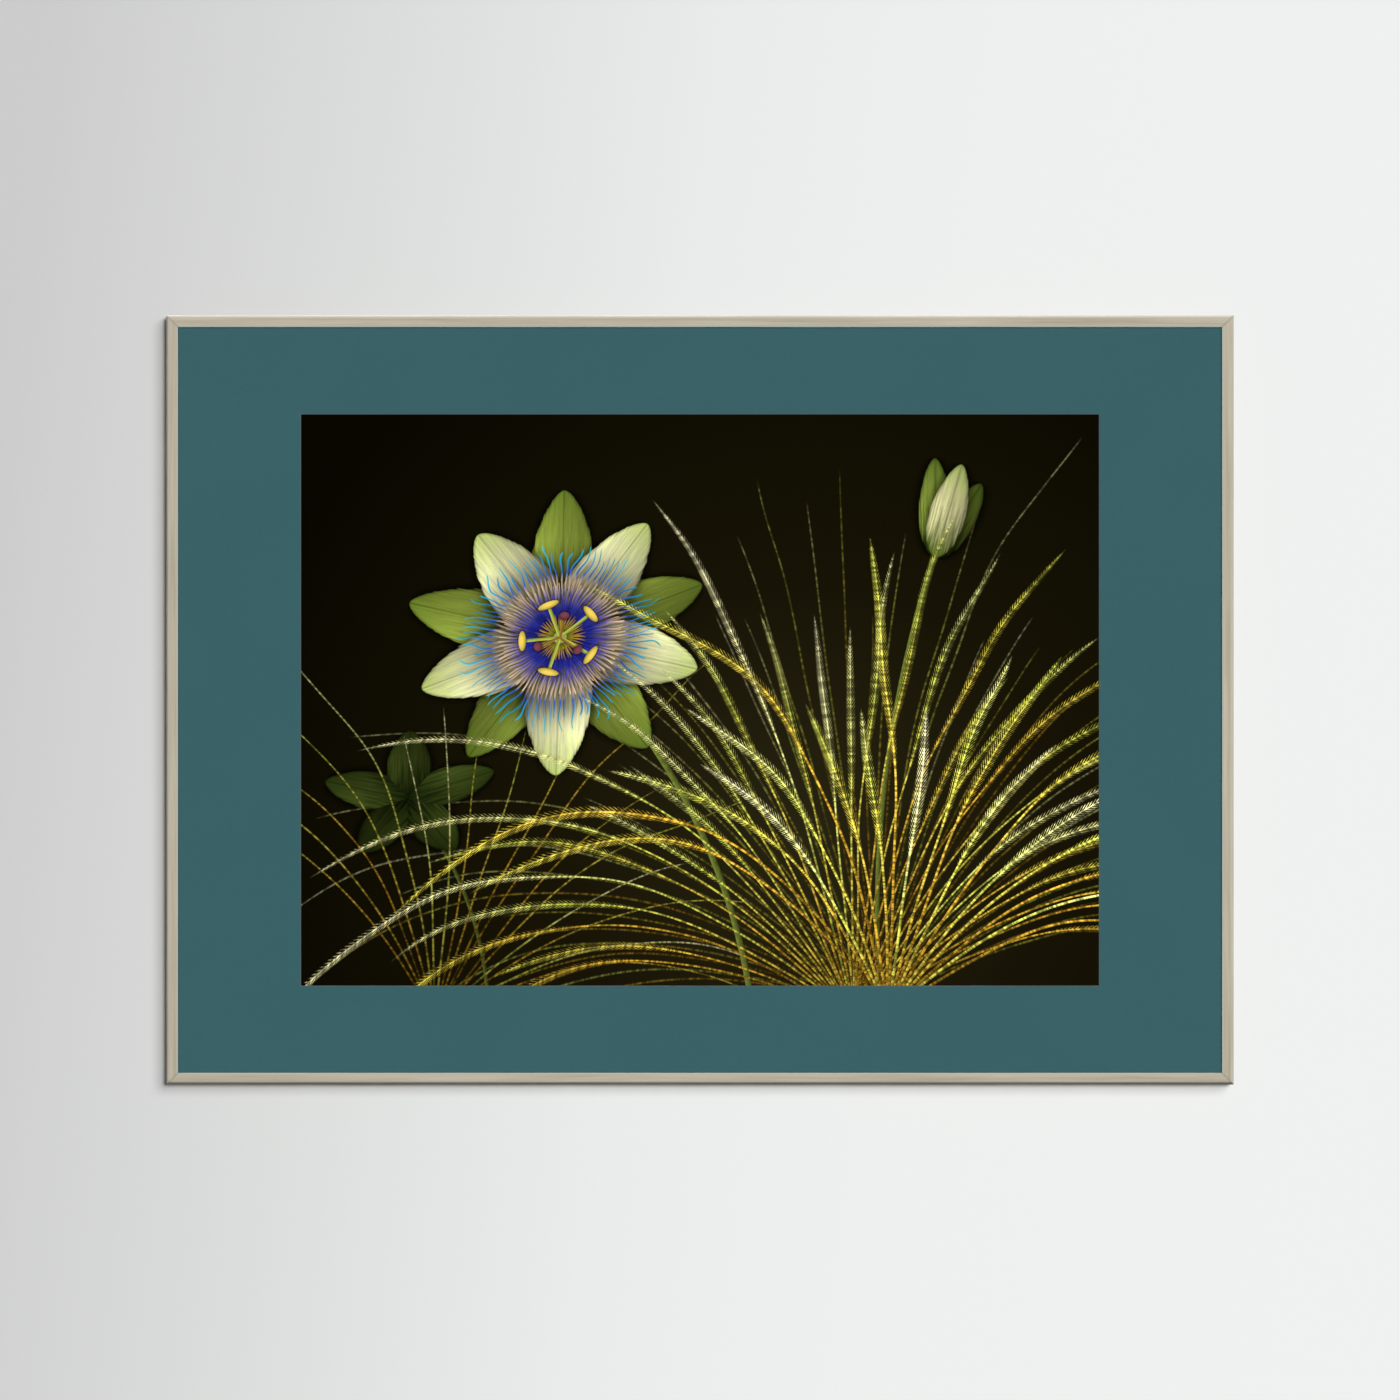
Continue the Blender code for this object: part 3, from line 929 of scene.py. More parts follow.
@dataclass(frozen=True)
class ClubRing:
    """Rods about the bloom's middle, each with a head across its end."""

    rods: int
    turn: float
    length: float
    half_width: float
    head: tuple[float, float]
    rod_tone: str
    head_tone: str

    def draw(self, n: Wiring, local: Socket, canvas: Socket) -> Socket:
        """Lays rods, then heads: a head is the ellipse about the rod's end.

        Args:
            n: the node tree to add to.
            local: the spot, in millimetres from the flower's middle.
            canvas: the picture so far.

        Returns:
            The picture with rods and heads on it.
        """
        add = n.add
        _, along, across = sector(n, local, self.rods, self.turn)
        inset = add("Math.SUBTRACT", self.half_width, add("Math.ABSOLUTE", across))
        rod = add("Math.MULTIPLY_ADD", inset, 2.0, 0.5, use_clamp=True)
        rod = add("Math.MULTIPLY", rod, add("Math.LESS_THAN", along, self.length))
        level = add("MapRange", across, -self.half_width, self.half_width, 1.3, 0.45)
        colour = add("VectorMath.SCALE", linear(self.rod_tone)[:3], {"Scale": level})
        canvas = laid_over(n, canvas, colour, rod)
        deep = add("Math.DIVIDE", add("Math.SUBTRACT", along, self.length), self.head[0])
        wide = add("Math.DIVIDE", across, self.head[1])
        ring = add("Math.MULTIPLY_ADD", deep, deep, add("Math.MULTIPLY", wide, wide))
        halo = add("MapRange", ring, 0.8, 2.6, 0.45, 1.0, **SMOOTH)
        canvas = add("VectorMath.SCALE", canvas, {"Scale": halo})
        from_highlight = add("Math.SUBTRACT", ring, add("Math.MULTIPLY", deep, 0.5))
        crown = add("MapRange", from_highlight, -0.3, 1.3, 1.35, 0.4)
        colour = add("VectorMath.SCALE", linear(self.head_tone)[:3], {"Scale": crown})
        return laid_over(n, canvas, colour, add("MapRange", ring, 1.08, 0.9, 0.0, 1.0))


@dataclass(frozen=True)
class FlowerHead:
    """Flower parts drawn about one middle, turned, and tipped a little away."""

    centre: tuple[float, float]
    turn_degrees: float
    squash: float
    layers: tuple[Any, ...]

    def draw(self, n: Wiring, spot: Socket, canvas: Socket) -> Socket:
        """Lays the parts over the picture so far, one by one.

        Args:
            n: the node tree to add to.
            spot: the spot on the print, in millimetres from the window's middle.
            canvas: the picture so far.

        Returns:
            The picture with the flower on it.
        """
        local = n.add(
            "Mapping",
            spot,
            {
                "Location": (*self.centre, 0.0),
                "Rotation": (0.0, 0.0, math.radians(self.turn_degrees)),
                "Scale": (1.0, self.squash, 1.0),
            },
            vector_type="TEXTURE",
        )
        for layer in self.layers:
            canvas = layer.draw(n, local, canvas)
        return canvas


OPEN_BLOOM = FlowerHead(
    (-94.0, 42.0), 28.0, 0.88,
    (
        PetalRing(5, 0.13, 108.0, 22.0, 3.0, 0.6, ("42581a", "a8b84c", "6f8a2a")),
        PetalRing(5, 0.63, 100.0, 23.0, 8.0, 1.0, ("b0a85c", "f3edc0", "b4c95a")),
        FilamentRing(
            84, 12.0, 74.0, 0.72, 0.9, 21.0,
            (
                (0.0, "3b2a6e"), (1.0, "2fe0dc"), (0.16, "2a34a0"), (0.34, "f6dcc6"),
                (0.48, "eec29c"), (0.58, "3a6ad8"), (0.78, "1fb4e0"),
            ),
            0.72,
        ),
        FilamentRing(
            96, 9.0, 46.0, 0.58, 0.6, 47.0,
            ((0.0, "1b1858"), (1.0, "fff0d8"), (0.4, "2f36b4"), (0.62, "6a58c0"), (0.85, "f4d4b0")),
            0.6,
        ),
        FilamentRing(
            44, 4.5, 19.0, 0.62, 0.3, 71.0, ((0.0, "5a6a14"), (1.0, "2a1c5e"), (0.55, "c89a34")), 0.5
        ),
        ClubRing(5, 0.4, 26.0, 1.1, (2.6, 7.4), "b4c24a", "f0cf58"),
        ClubRing(3, 0.2, 16.0, 1.0, (3.0, 3.5), "9a7434", "7a3f4a"),
    ),
)
BUD = FlowerHead(
    (158.0, 96.0), -16.0, 1.0,
    (
        PetalRing(1, 0.455, 64.0, 11.0, 4.0, 0.45, ("3c5218", "8fa040", "5f7a26")),
        PetalRing(1, 0.545, 64.0, 11.0, 6.0, 0.5, ("42581a", "98aa46", "66812a")),
        PetalRing(1, 0.5, 66.0, 12.0, 9.0, 0.8, ("6a7a2e", "e6e0a6", "a4bc50")),
    ),
)
LEAF = FlowerHead(
    (-196.0, -66.0), 12.0, 0.8,
    (PetalRing(5, 0.35, 58.0, 15.0, 14.0, 0.2, ("2a3a12", "5a6a2a", "3c5018")),),
)


@dataclass(frozen=True)
class PrintedPaper(Finish):
    """Inkjet print on satin photo paper: deep blacks and a fine even sheen."""

    middle_z: float = 0.0
    layers: tuple[Any, ...] = (
        GrassFan((118.0, -205.0), -10.0, 150.0, 52, 430.0, 0.7, 0.5, 0.3, 5.0, soft=1.3),
        Stem((-196.0, -66.0), (-142.0, -215.0), 14.0, 1.2, 0.3),
        LEAF,
        Stem((-94.0, 42.0), (36.0, -215.0), 26.0, 2.0),
        Stem((158.0, 98.0), (122.0, -215.0), -16.0, 1.5),
        BUD,
        GrassFan((-178.0, -214.0), 18.0, 104.0, 17, 320.0, 0.9, 0.6, 0.6, 33.0, soft=0.8),
        OPEN_BLOOM,
        GrassFan((104.0, -212.0), -4.0, 132.0, 34, 410.0, 0.9, 0.7, 1.3, 11.0, awn=3.2),
        GrassFan((126.0, -210.0), 9.0, 100.0, 19, 360.0, 1.2, 0.9, 2.0, 57.0, awn=4.0),
    )

    def shader(self, n: Wiring) -> Socket:
        """The picture, drawn motif by motif, and the paper's satin grain."""
        place = n.add("TexCoord", out="Object")
        x, z = n.add("SeparateXYZ", place, out=("X", "Z"))
        spot = n.add(
            "VectorMath.MULTIPLY_ADD",
            n.add("CombineXYZ", x, z),
            (MM, MM, 0.0),
            (0.0, -self.middle_z * MM, 0.0),
        )
        canvas = self.ground(n, spot)
        for layer in self.layers:
            canvas = layer.draw(n, spot, canvas)
        grain = n.add("TexNoise", {"Vector": place, "Scale": MM / 0.7, "Detail": 2.0})
        return n.add(
            "BsdfPrincipled",
            {
                "Base Color": canvas,
                "Roughness": n.add("MapRange", grain, 0.3, 0.7, 0.42, 0.5),
                "Specular IOR Level": 0.06,
                "Normal": n.add("Bump", {"Strength": 0.1, "Distance": 0.00001, "Height": grain}),
            },
        )

    def ground(self, n: Wiring, spot: Socket) -> Socket:
        """Near-black brown, a little lighter low and right of the middle."""
        off = n.add("VectorMath.SUBTRACT", spot, (70.0, -90.0, 0.0))
        far = n.add("VectorMath.LENGTH", off, out="Value")
        return n.add(
            "ValToRGB",
            n.add("Math.DIVIDE", far, 400.0),
            stops=[(0.0, "292412"), (1.0, "080600"), (0.42, "181406")],
        )


# ---------------------------------------------------------------------------------------
# Sub-assemblies
# ---------------------------------------------------------------------------------------


def corners(node: str) -> tuple[np.ndarray, np.ndarray]:
    """The low and high corners of a CAD node's box."""
    low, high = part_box(node)
    return np.array(low), np.array(high)


def mark(mesh: bpy.types.Mesh, name: str, domain: str, values: np.ndarray) -> None:
    """Stores a number from 0 to 1 on each point or face of a mesh, for its finish to read."""
    stored = mesh.attributes.new(name, "FLOAT", domain)
    stored.data.foreach_set("value", values.astype(np.float32))


@dataclass
class SubAssembly:
    """Common to every sub-assembly: makes its pieces and puts them on the frame's body."""

    pieces: list[bpy.types.Object] = field(default_factory=list, init=False)

    def piece(self, mesh: bpy.types.Mesh, slot: str, *nodes: str) -> bpy.types.Object:
        """Turns a mesh into a piece of the picture.

        Args:
            mesh: its mesh, with its place in its points.
            slot: a material slot's name; not used.
            nodes: the CAD nodes that it stands for.

        Returns:
            The piece.
        """
        made = bpy.data.objects.new(mesh.name, mesh)
        bpy.context.scene.collection.objects.link(made)
        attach(made, BODY)
        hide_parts(*nodes)
        self.pieces.append(made)
        return made

    def dress(self, finish: Finish) -> None:
        """Gives every piece so far the same finish."""
        material = finish.material()
        for made in self.pieces:
            made.data.materials.append(material)

    def build(self) -> None:
        """Makes the sub-assembly's pieces. Each one has its own."""
        raise NotImplementedError


@dataclass
class Rail(SubAssembly):
    """One mitred side of the frame, with a lip in front of the sheets and a worn arris."""

    side: Side = Side.TOP
    lip_width: float = 0.004
    lip_depth: float = 0.004
    lip_chamfer: tuple[float, float] = (0.0004, 0.0001)
    outer_round: tuple[float, float] = (0.0023, 0.0030)
    back_chamfer: float = 0.0005
    mitre_gap: float = 0.00006
    point_spacing: float = 0.0005
    station_spacing: float = 0.006
    ridge_length: float = 0.03
    relief: float = 0.000012
    # strength of the grey painted shade line inside the outer edge; only the top and bottom rails have it
    painted_shade: float = 0.0
    seed: int = 1

    def section(self, width: float, depth: float) -> np.ndarray:
        """Draws the rail's outline.

        Args:
            width: how wide its face is.
            depth: how far it reaches back.

        Returns:
            How far outward from the sight edge each point lies, and how far back.
        """
        inner = self.lip_width
        across, back = self.outer_round
        bevel, bevel_depth = self.lip_chamfer
        return np.concatenate(
            [
                [(bevel, 0.0)],
                arc_points((width - across, back), (across, back), -90.0, 0.0, 12),
                [(width, depth - self.back_chamfer), (width - self.back_chamfer, depth)],
                [(inner + self.back_chamfer, depth), (inner, depth - self.back_chamfer)],
                [(inner, self.lip_depth), (0.0, self.lip_depth), (0.0, bevel_depth)],
            ]
        )

    def build(self) -> None:
        """Carries the outline along the rail.

        A point w outward from the sight edge runs from -(s + w) to s + w along the rail, s
        being half the sight, so that both ends are cut at 45 degrees. Fine ridges, long
        along the grain, stand out along the outline's normal.
        """
        node = "rail_" + self.side.label
        low, high = corners(node)
        half_width, half_height, middle_z = self.opening()
        level = self.side in (Side.TOP, Side.BOTTOM)
        half, reach = (half_width, half_height) if level else (half_height, half_width)
        size = high - low
        width = float(np.abs(size @ self.side.outward))
        outline = resampled(self.section(width, float(size[1])), self.point_spacing)
        ridges = self.ridges(outline, half)
        stations = len(ridges)
        w = outline[None, :, 0] + ridges[..., 0]
        y = outline[None, :, 1] + ridges[..., 1]
        t = np.linspace(-1.0, 1.0, stations)[:, None]
        run = t * (half + outline[None, :, 0] - self.mitre_gap * math.sqrt(0.5))
        points = (
            np.array([0.0, low[1], middle_z])
            + run[..., None] * self.side.along
            + (reach + w)[..., None] * self.side.outward
            + y[..., None] * np.array([0.0, 1.0, 0.0])
        )
        count = len(outline)
        sides = grid_faces(stations, count, wrap_cols=True).tolist()
        last = (stations - 1) * count
        ends = [list(range(count)), list(range(last, last + count))[::-1]]
        made = self.piece(closed_mesh("oak_" + node, points, sides + ends), "limed_oak", node)
        self.mark_edges(made, width)

    @staticmethod
    def opening() -> tuple[float, float, float]:
        """The opening between the rails: half its width, half its height, its middle's z."""
        top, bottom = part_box("rail_top")[0][2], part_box("rail_bottom")[1][2]
        half_height = (top - bottom) / 2
        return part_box("rail_right")[0][0], half_height, top - half_height

    def ridges(self, outline: np.ndarray, half: float) -> np.ndarray:
        """Works out how far the grain's ridges move each point of the rail.

        Random heights, about a ridge's length apart along the rail, are joined by straight
        runs, one run for each point of the outline, so that a ridge is long and narrow. They
        stand along the outline's normal, which is its direction turned by a quarter.

        Args:
            outline: the rail's outline.
            half: half the rail's length at the sight edge.

        Returns:
            Stations along the rail, by points of the outline, by (outward, back).
        """
        stations = max(2, round(2 * half / self.station_spacing))
        size = (max(3, round(2 * half / self.ridge_length)), len(outline))
        rows = np.random.default_rng(self.seed).normal(size=size)
        place = np.linspace(0.0, len(rows) - 1.000001, stations)
        row = place.astype(int)
        part = (place - row)[:, None]
        height = (rows[row] * (1 - part) + rows[row + 1] * part) * self.relief
        ahead = np.roll(outline, -1, axis=0) - np.roll(outline, 1, axis=0)
        normal = np.stack([ahead[:, 1], -ahead[:, 0]], axis=-1)
        normal /= np.linalg.norm(normal, axis=1, keepdims=True)
        return height[..., None] * normal

    def mark_edges(self, made: bpy.types.Object, width: float) -> None:
        """Stores how near each point is to the front's outer edge and to the lip, from 0 to 1.

        The grey line of painted shade is stored in the same way, as strong as the rail's setting
        for it. The lip's wall, which stands between the front and the sheets and takes dark
        painted shade, is stored as 1.

        Args:
            made: the rail.
            width: how far its face reaches outward from the sight edge.
        """
        mesh = made.data
        points = np.empty(len(mesh.vertices) * 3, np.float32)
        mesh.vertices.foreach_get("co", points)
        points = points.reshape(-1, 3)
        low, high = corners("rail_" + self.side.label)
        outer = np.abs(high if sum(self.side.value) > 0 else low) @ np.abs(self.side.outward)
        out = width - np.abs(outer - np.abs(points @ np.abs(self.side.outward)))
        back = points[:, 1] - low[1]
        for name, place, reach, most in (
            ("outer_edge", (width - 0.0005, 0.0008), 0.0018, 0.2),
            # the grey line here is painted shade
            ("painted_shade_line", (width - 0.0015, 0.0002), 0.00085, self.painted_shade),
            ("lip_edge", (0.0004, 0.0001), 0.0013, 0.9),
        ):
            far = np.hypot(out - place[0], back - place[1]) / reach
            mark(mesh, name, "POINT", np.clip(1.8 * (1.0 - far), 0.0, most))
        # the lip's inner wall, which takes dark painted shade
        wall = (out < self.lip_chamfer[0] / 2) & (back > 2 * self.lip_chamfer[1])
        mark(mesh, "lip_wall", "POINT", wall)


@dataclass
class WindowMat(SubAssembly):
    """The mat: a board with a window whose edge is cut on a steep slope, open to the front."""

    window_width: float = 0.5356
    window_height: float = 0.3834
    bevel_run: float = 0.0008
    steps: int = 36

    def build(self) -> None:
        """Carries the board's cross-section round the window.

        A point of the section has a share f, 0 at the window and 1 at the outer edge, an
        offset for the bevel, and a depth. Its place at a corner is the window's corner, moved
        out by the offset and by f of the way to the board's corner, and points between two
        corners lie evenly on the straight between them.
        """
        low, high = corners("mat")
        run = self.bevel_run
        middle = (low + high) / 2
        board = (high - low)[[0, 2]] / 2
        window = np.array([self.window_width, self.window_height]) / 2
        share = np.concatenate([[0.0, 0.0], np.linspace(0.004, 1.0, 12), [1.0]])
        bevel = np.concatenate([[0.0, run], np.linspace(run, 0.0, 12), [0.0]])
        depth = np.concatenate([[high[1], low[1]], np.full(12, low[1]), [high[1]]])
        signs = np.array([[-1, -1], [1, -1], [1, 1], [-1, 1]])
        half = window + bevel[:, None] + share[:, None] * (board - window - bevel[:, None])
        corner = signs[:, None, :] * half[None, :, :]
        following = np.roll(corner, -1, axis=0)
        t = np.linspace(0.0, 1.0, self.steps, endpoint=False)[None, :, None, None]
        flat = corner[:, None] * (1 - t) + following[:, None] * t
        flat = flat.reshape(4 * self.steps, len(share), 2)
        y = np.broadcast_to(depth, flat.shape[:2])
        points = np.stack([flat[..., 0] + middle[0], y, flat[..., 1] + middle[2]], axis=-1)
        faces = grid_faces(4 * self.steps, len(share), wrap_rows=True, wrap_cols=True)
        made = self.piece(closed_mesh("window_mat", points, faces), "mat_board", "mat")
        self.mark_core(made.data)

    @staticmethod
    def mark_core(mesh: bpy.types.Mesh) -> None:
        """Marks the faces that a blade has cut, which slope or stand between front and back."""
        normal = np.empty(len(mesh.polygons) * 3, np.float32)
        mesh.polygons.foreach_get("normal", normal)
        mark(mesh, "core", "FACE", np.abs(normal.reshape(-1, 3)[:, 1]) < 0.9)


@dataclass
class PrintSheet(SubAssembly):
    """The print: thin paper that cockles a little behind the mat."""

    cockle: float = 0.00008
    rows: int = 41
    cols: int = 57

    def build(self) -> None:
        """Two sheets of points, both moved by sin(3 pi u) cos(2 pi v) times the cockle."""
        low, high = corners("print")
        u, v = np.meshgrid(np.linspace(0, 1, self.cols), np.linspace(0, 1, self.rows))
        wave = self.cockle * np.sin(3 * math.pi * u) * np.cos(2 * math.pi * v)
        front = np.stack(
            [low[0] + u * (high[0] - low[0]), low[1] + wave, low[2] + v * (high[2] - low[2])],
            axis=-1,
        )
        back = front + np.array([0.0, high[1] - low[1], 0.0])
        self.piece(plate_mesh("print_sheet", front, back), "printed_paper", "print")


@dataclass
class HangingStrip(SubAssembly):
    """The serrated strip that rests on the nail, stamped from thin plated steel."""

    length: float = 0.056
    thickness: float = 0.0008
    rise: float = 0.0026
    end: float = 0.0095
    slope: float = 0.0035
    tooth_pitch: float = 0.002
    tooth_height: float = 0.0013
    teeth: int = 13
    corner: float = 0.0022
    rib: float = 0.00021
    rib_span: tuple[float, float] = (0.4, 0.8)
    rows: int = 21

    def build(self) -> None:
        """A sheet of points whose lower edge is toothed and whose corners are round.

        Along x the strip's middle depth follows a smooth step up from each foot. At share v
        of the height, z goes evenly from the lower edge to the upper one. The gaps between
        teeth, a triangle wave over the toothed middle, raise it by their height times
        (1 - v)^6, so that they leave the upper rows straight. A shallow rib, 1 - cos of the
        height, is pressed along the strip a little above its middle, over the rib's span.
        """
        low, high = corners("hanger")
        half = self.length / 2
        x = np.linspace(-half, half, 16 * int(self.length / self.tooth_pitch) + 1)
        ramp = np.clip((half - self.end - np.abs(x)) / self.slope, 0.0, 1.0)
        lift = self.rise * ramp * ramp * (3 - 2 * ramp)
        wave = np.abs((x / self.tooth_pitch + self.teeth / 2) % 1.0 - 0.5) * 2
        toothed = np.abs(x) < self.teeth * self.tooth_pitch / 2
        gap = np.where(toothed, self.tooth_height * (1 - wave), 0.0)
        inset = self.corner - np.sqrt(
            np.maximum(self.corner**2 - np.maximum(np.abs(x) - half + self.corner, 0.0) ** 2, 0.0)
        )
        v = np.linspace(0.0, 1.0, self.rows)[:, None]
        z = low[2] + inset + v * (high[2] - low[2] - 2 * inset) + gap * (1 - v) ** 6
        share = (z - low[2]) / (high[2] - low[2])
        foot, top = self.rib_span
        over_rib = np.clip((share - foot) / (top - foot), 0.0, 1.0)
        rib = self.rib * (1 - np.cos(TURN * over_rib)) / 2 * ramp
        front = np.stack(np.broadcast_arrays(x, low[1] + lift + rib, z), axis=-1)
        back = front + np.array([0.0, self.thickness, 0.0])
        self.piece(plate_mesh("hanging_strip", front, back), "plated_steel", "hanger")


@dataclass
class StripRivets(SubAssembly):
    """The two domed rivets that hold the strip to the board."""

    sides: int = 40
    shank: float = 0.0012
    crown: float = 0.0011
    rim: float = 0.0001
    underside: float = 0.96  # the underside's radius, as a share of the dome's

    def build(self) -> None:
        """Turns each rivet: a shank in the board, a flat underside, a narrow rim and a dome.

        A point of the dome has the radius r cos t, and lies crown (1 - sin t) in front of
        its top, for t from 0 to 90 degrees.
        """
        t = np.linspace(0.0, math.pi / 2, 10)
        for side in ("left", "right"):
            node = "hanger_rivet_" + side
            low, high = corners(node)
            radius = (high[0] - low[0]) / 2
            centre = (low + high) / 2
            under = high[1] - self.crown - self.rim
            dome = np.stack([radius * np.cos(t), high[1] - self.crown * (1 - np.sin(t))], axis=-1)
            dome[-1, 0] = 0.0
            shank = [(0.0, low[1]), (self.shank, low[1]), (self.shank, under)]
            profile = np.concatenate([shank, [(radius * self.underside, under)], dome])
            place = Vector((centre[0], 0.0, centre[2]))
            self.piece(turned_mesh("strip_rivet_" + side, profile, place, self.sides), "rivet_steel", node)


@dataclass
class SteelPoints(SubAssembly):
    """The bendable steel points that are pressed into the rails to hold the board in."""

    corner: float = 0.0028
    dip: float = 0.00022
    rows: int = 25
    cols: int = 15

    def build(self) -> None:
        """Makes a point for each CAD node of that name, its tip turned to the picture's middle."""
        nodes = sorted(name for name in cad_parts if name.startswith("flex_point_"))
        for node in nodes:
            self.point(node, Side[node.split("_")[2].upper()])

    def point(self, node: str, side: Side) -> None:
        """Makes one steel point, as a plate with rounded corners at its tip.

        At share v of its length from root to tip, it is as wide as the corner radius leaves
        it, and it dips towards the board by the dip times v squared.

        Args:
            node: its CAD node.
            side: the side of the frame that it is pressed into.
        """
        low, high = corners(node)
        size = high - low
        middle = (low + high) / 2
        length = float(np.abs(size @ side.outward))
        half = float(np.abs(size @ side.along)) / 2
        v = np.linspace(0.0, 1.0, self.rows) ** 0.8
        near_tip = np.maximum(v * length - (length - self.corner), 0.0)
        width = half - self.corner + np.sqrt(np.maximum(self.corner**2 - near_tip**2, 0.0))
        u = np.linspace(-1.0, 1.0, self.cols)[None, :]
        thickness = size[1]
        dip = -self.dip * v[:, None] ** 2 + 0.0 * u
        front = (
            middle
            + (u * width[:, None])[..., None] * side.along
            + (length * (0.5 - v[:, None]) + 0.0 * u)[..., None] * side.outward
            + (dip - thickness / 2)[..., None] * np.array([0.0, 1.0, 0.0])
        )
        back = front + np.array([0.0, thickness, 0.0])
        name = node.replace("flex_point", "steel_point")
        self.piece(plate_mesh(name, front, back), "spring_steel", node)


def dress_node(name: str, finish: Finish) -> bpy.types.Object:
    """Gives a CAD node that stays in view its finish, and returns it."""
    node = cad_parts[name]
    material = finish.material()
    for slot in node.material_slots:
        slot.material = material
    return node


# ---------------------------------------------------------------------------------------
# The room: a wall, a floor, soft lights and the camera
# ---------------------------------------------------------------------------------------


@dataclass(frozen=True)
class WallPaint(Finish):
    """Rolled white wall paint, with painted light: paler to the right, and clear from behind."""

    def shader(self, n: Wiring) -> Socket:
        """A tone that rises from left to right over faint mottling. Its back isn't seen."""
        place = n.add("TexCoord", out="Object")
        x, z = n.add("SeparateXYZ", place, out=("X", "Z"))
        mottle = n.add("TexNoise", {"Vector": place, "Scale": MM / 3.2, "Detail": 3.0})
        # painted light: paler to the right, and a little paler lower down
        across = n.add("Math.MULTIPLY_ADD", z, -0.12, x)
        across = n.add("MapRange", across, -0.47, 0.47, 0.0, 1.0)
        tone = n.add("Math.MULTIPLY_ADD", mottle, 0.02, n.add("Math.SUBTRACT", across, 0.01))
        colour = n.add(
            "ValToRGB",
            tone,
            stops=[(0.0, "cbcbcb"), (1.0, "eef0ef"), (0.28, "dcdedd"), (0.5, "e8ebea"), (0.7, "edefee")],
        )
        paint = n.add(
            "BsdfPrincipled",
            {
                "Base Color": colour,
                "Roughness": 0.9,
                "Specular IOR Level": 0.1,
                "Normal": n.add("Bump", {"Strength": 0.15, "Distance": 0.0002, "Height": mottle}),
            },
        )
        behind = n.add("NewGeometry", out="Backfacing")
        return n.add("MixShader", behind, paint, n.add("BsdfTransparent"))


@dataclass(frozen=True)
class FloorPaint(Finish):
    """Plain pale floor."""

    def shader(self, n: Wiring) -> Socket:
        """Pale grey with faint clouds."""
        cloud = n.add("TexNoise", {"Vector": n.add("TexCoord", out="Object"), "Scale": 1.3})
        colour = n.add("ValToRGB", cloud, stops=[(0.3, "dfdfdd"), (0.7, "e2e2e0")])
        return n.add("BsdfPrincipled", {"Base Color": colour, "Roughness": 0.85})


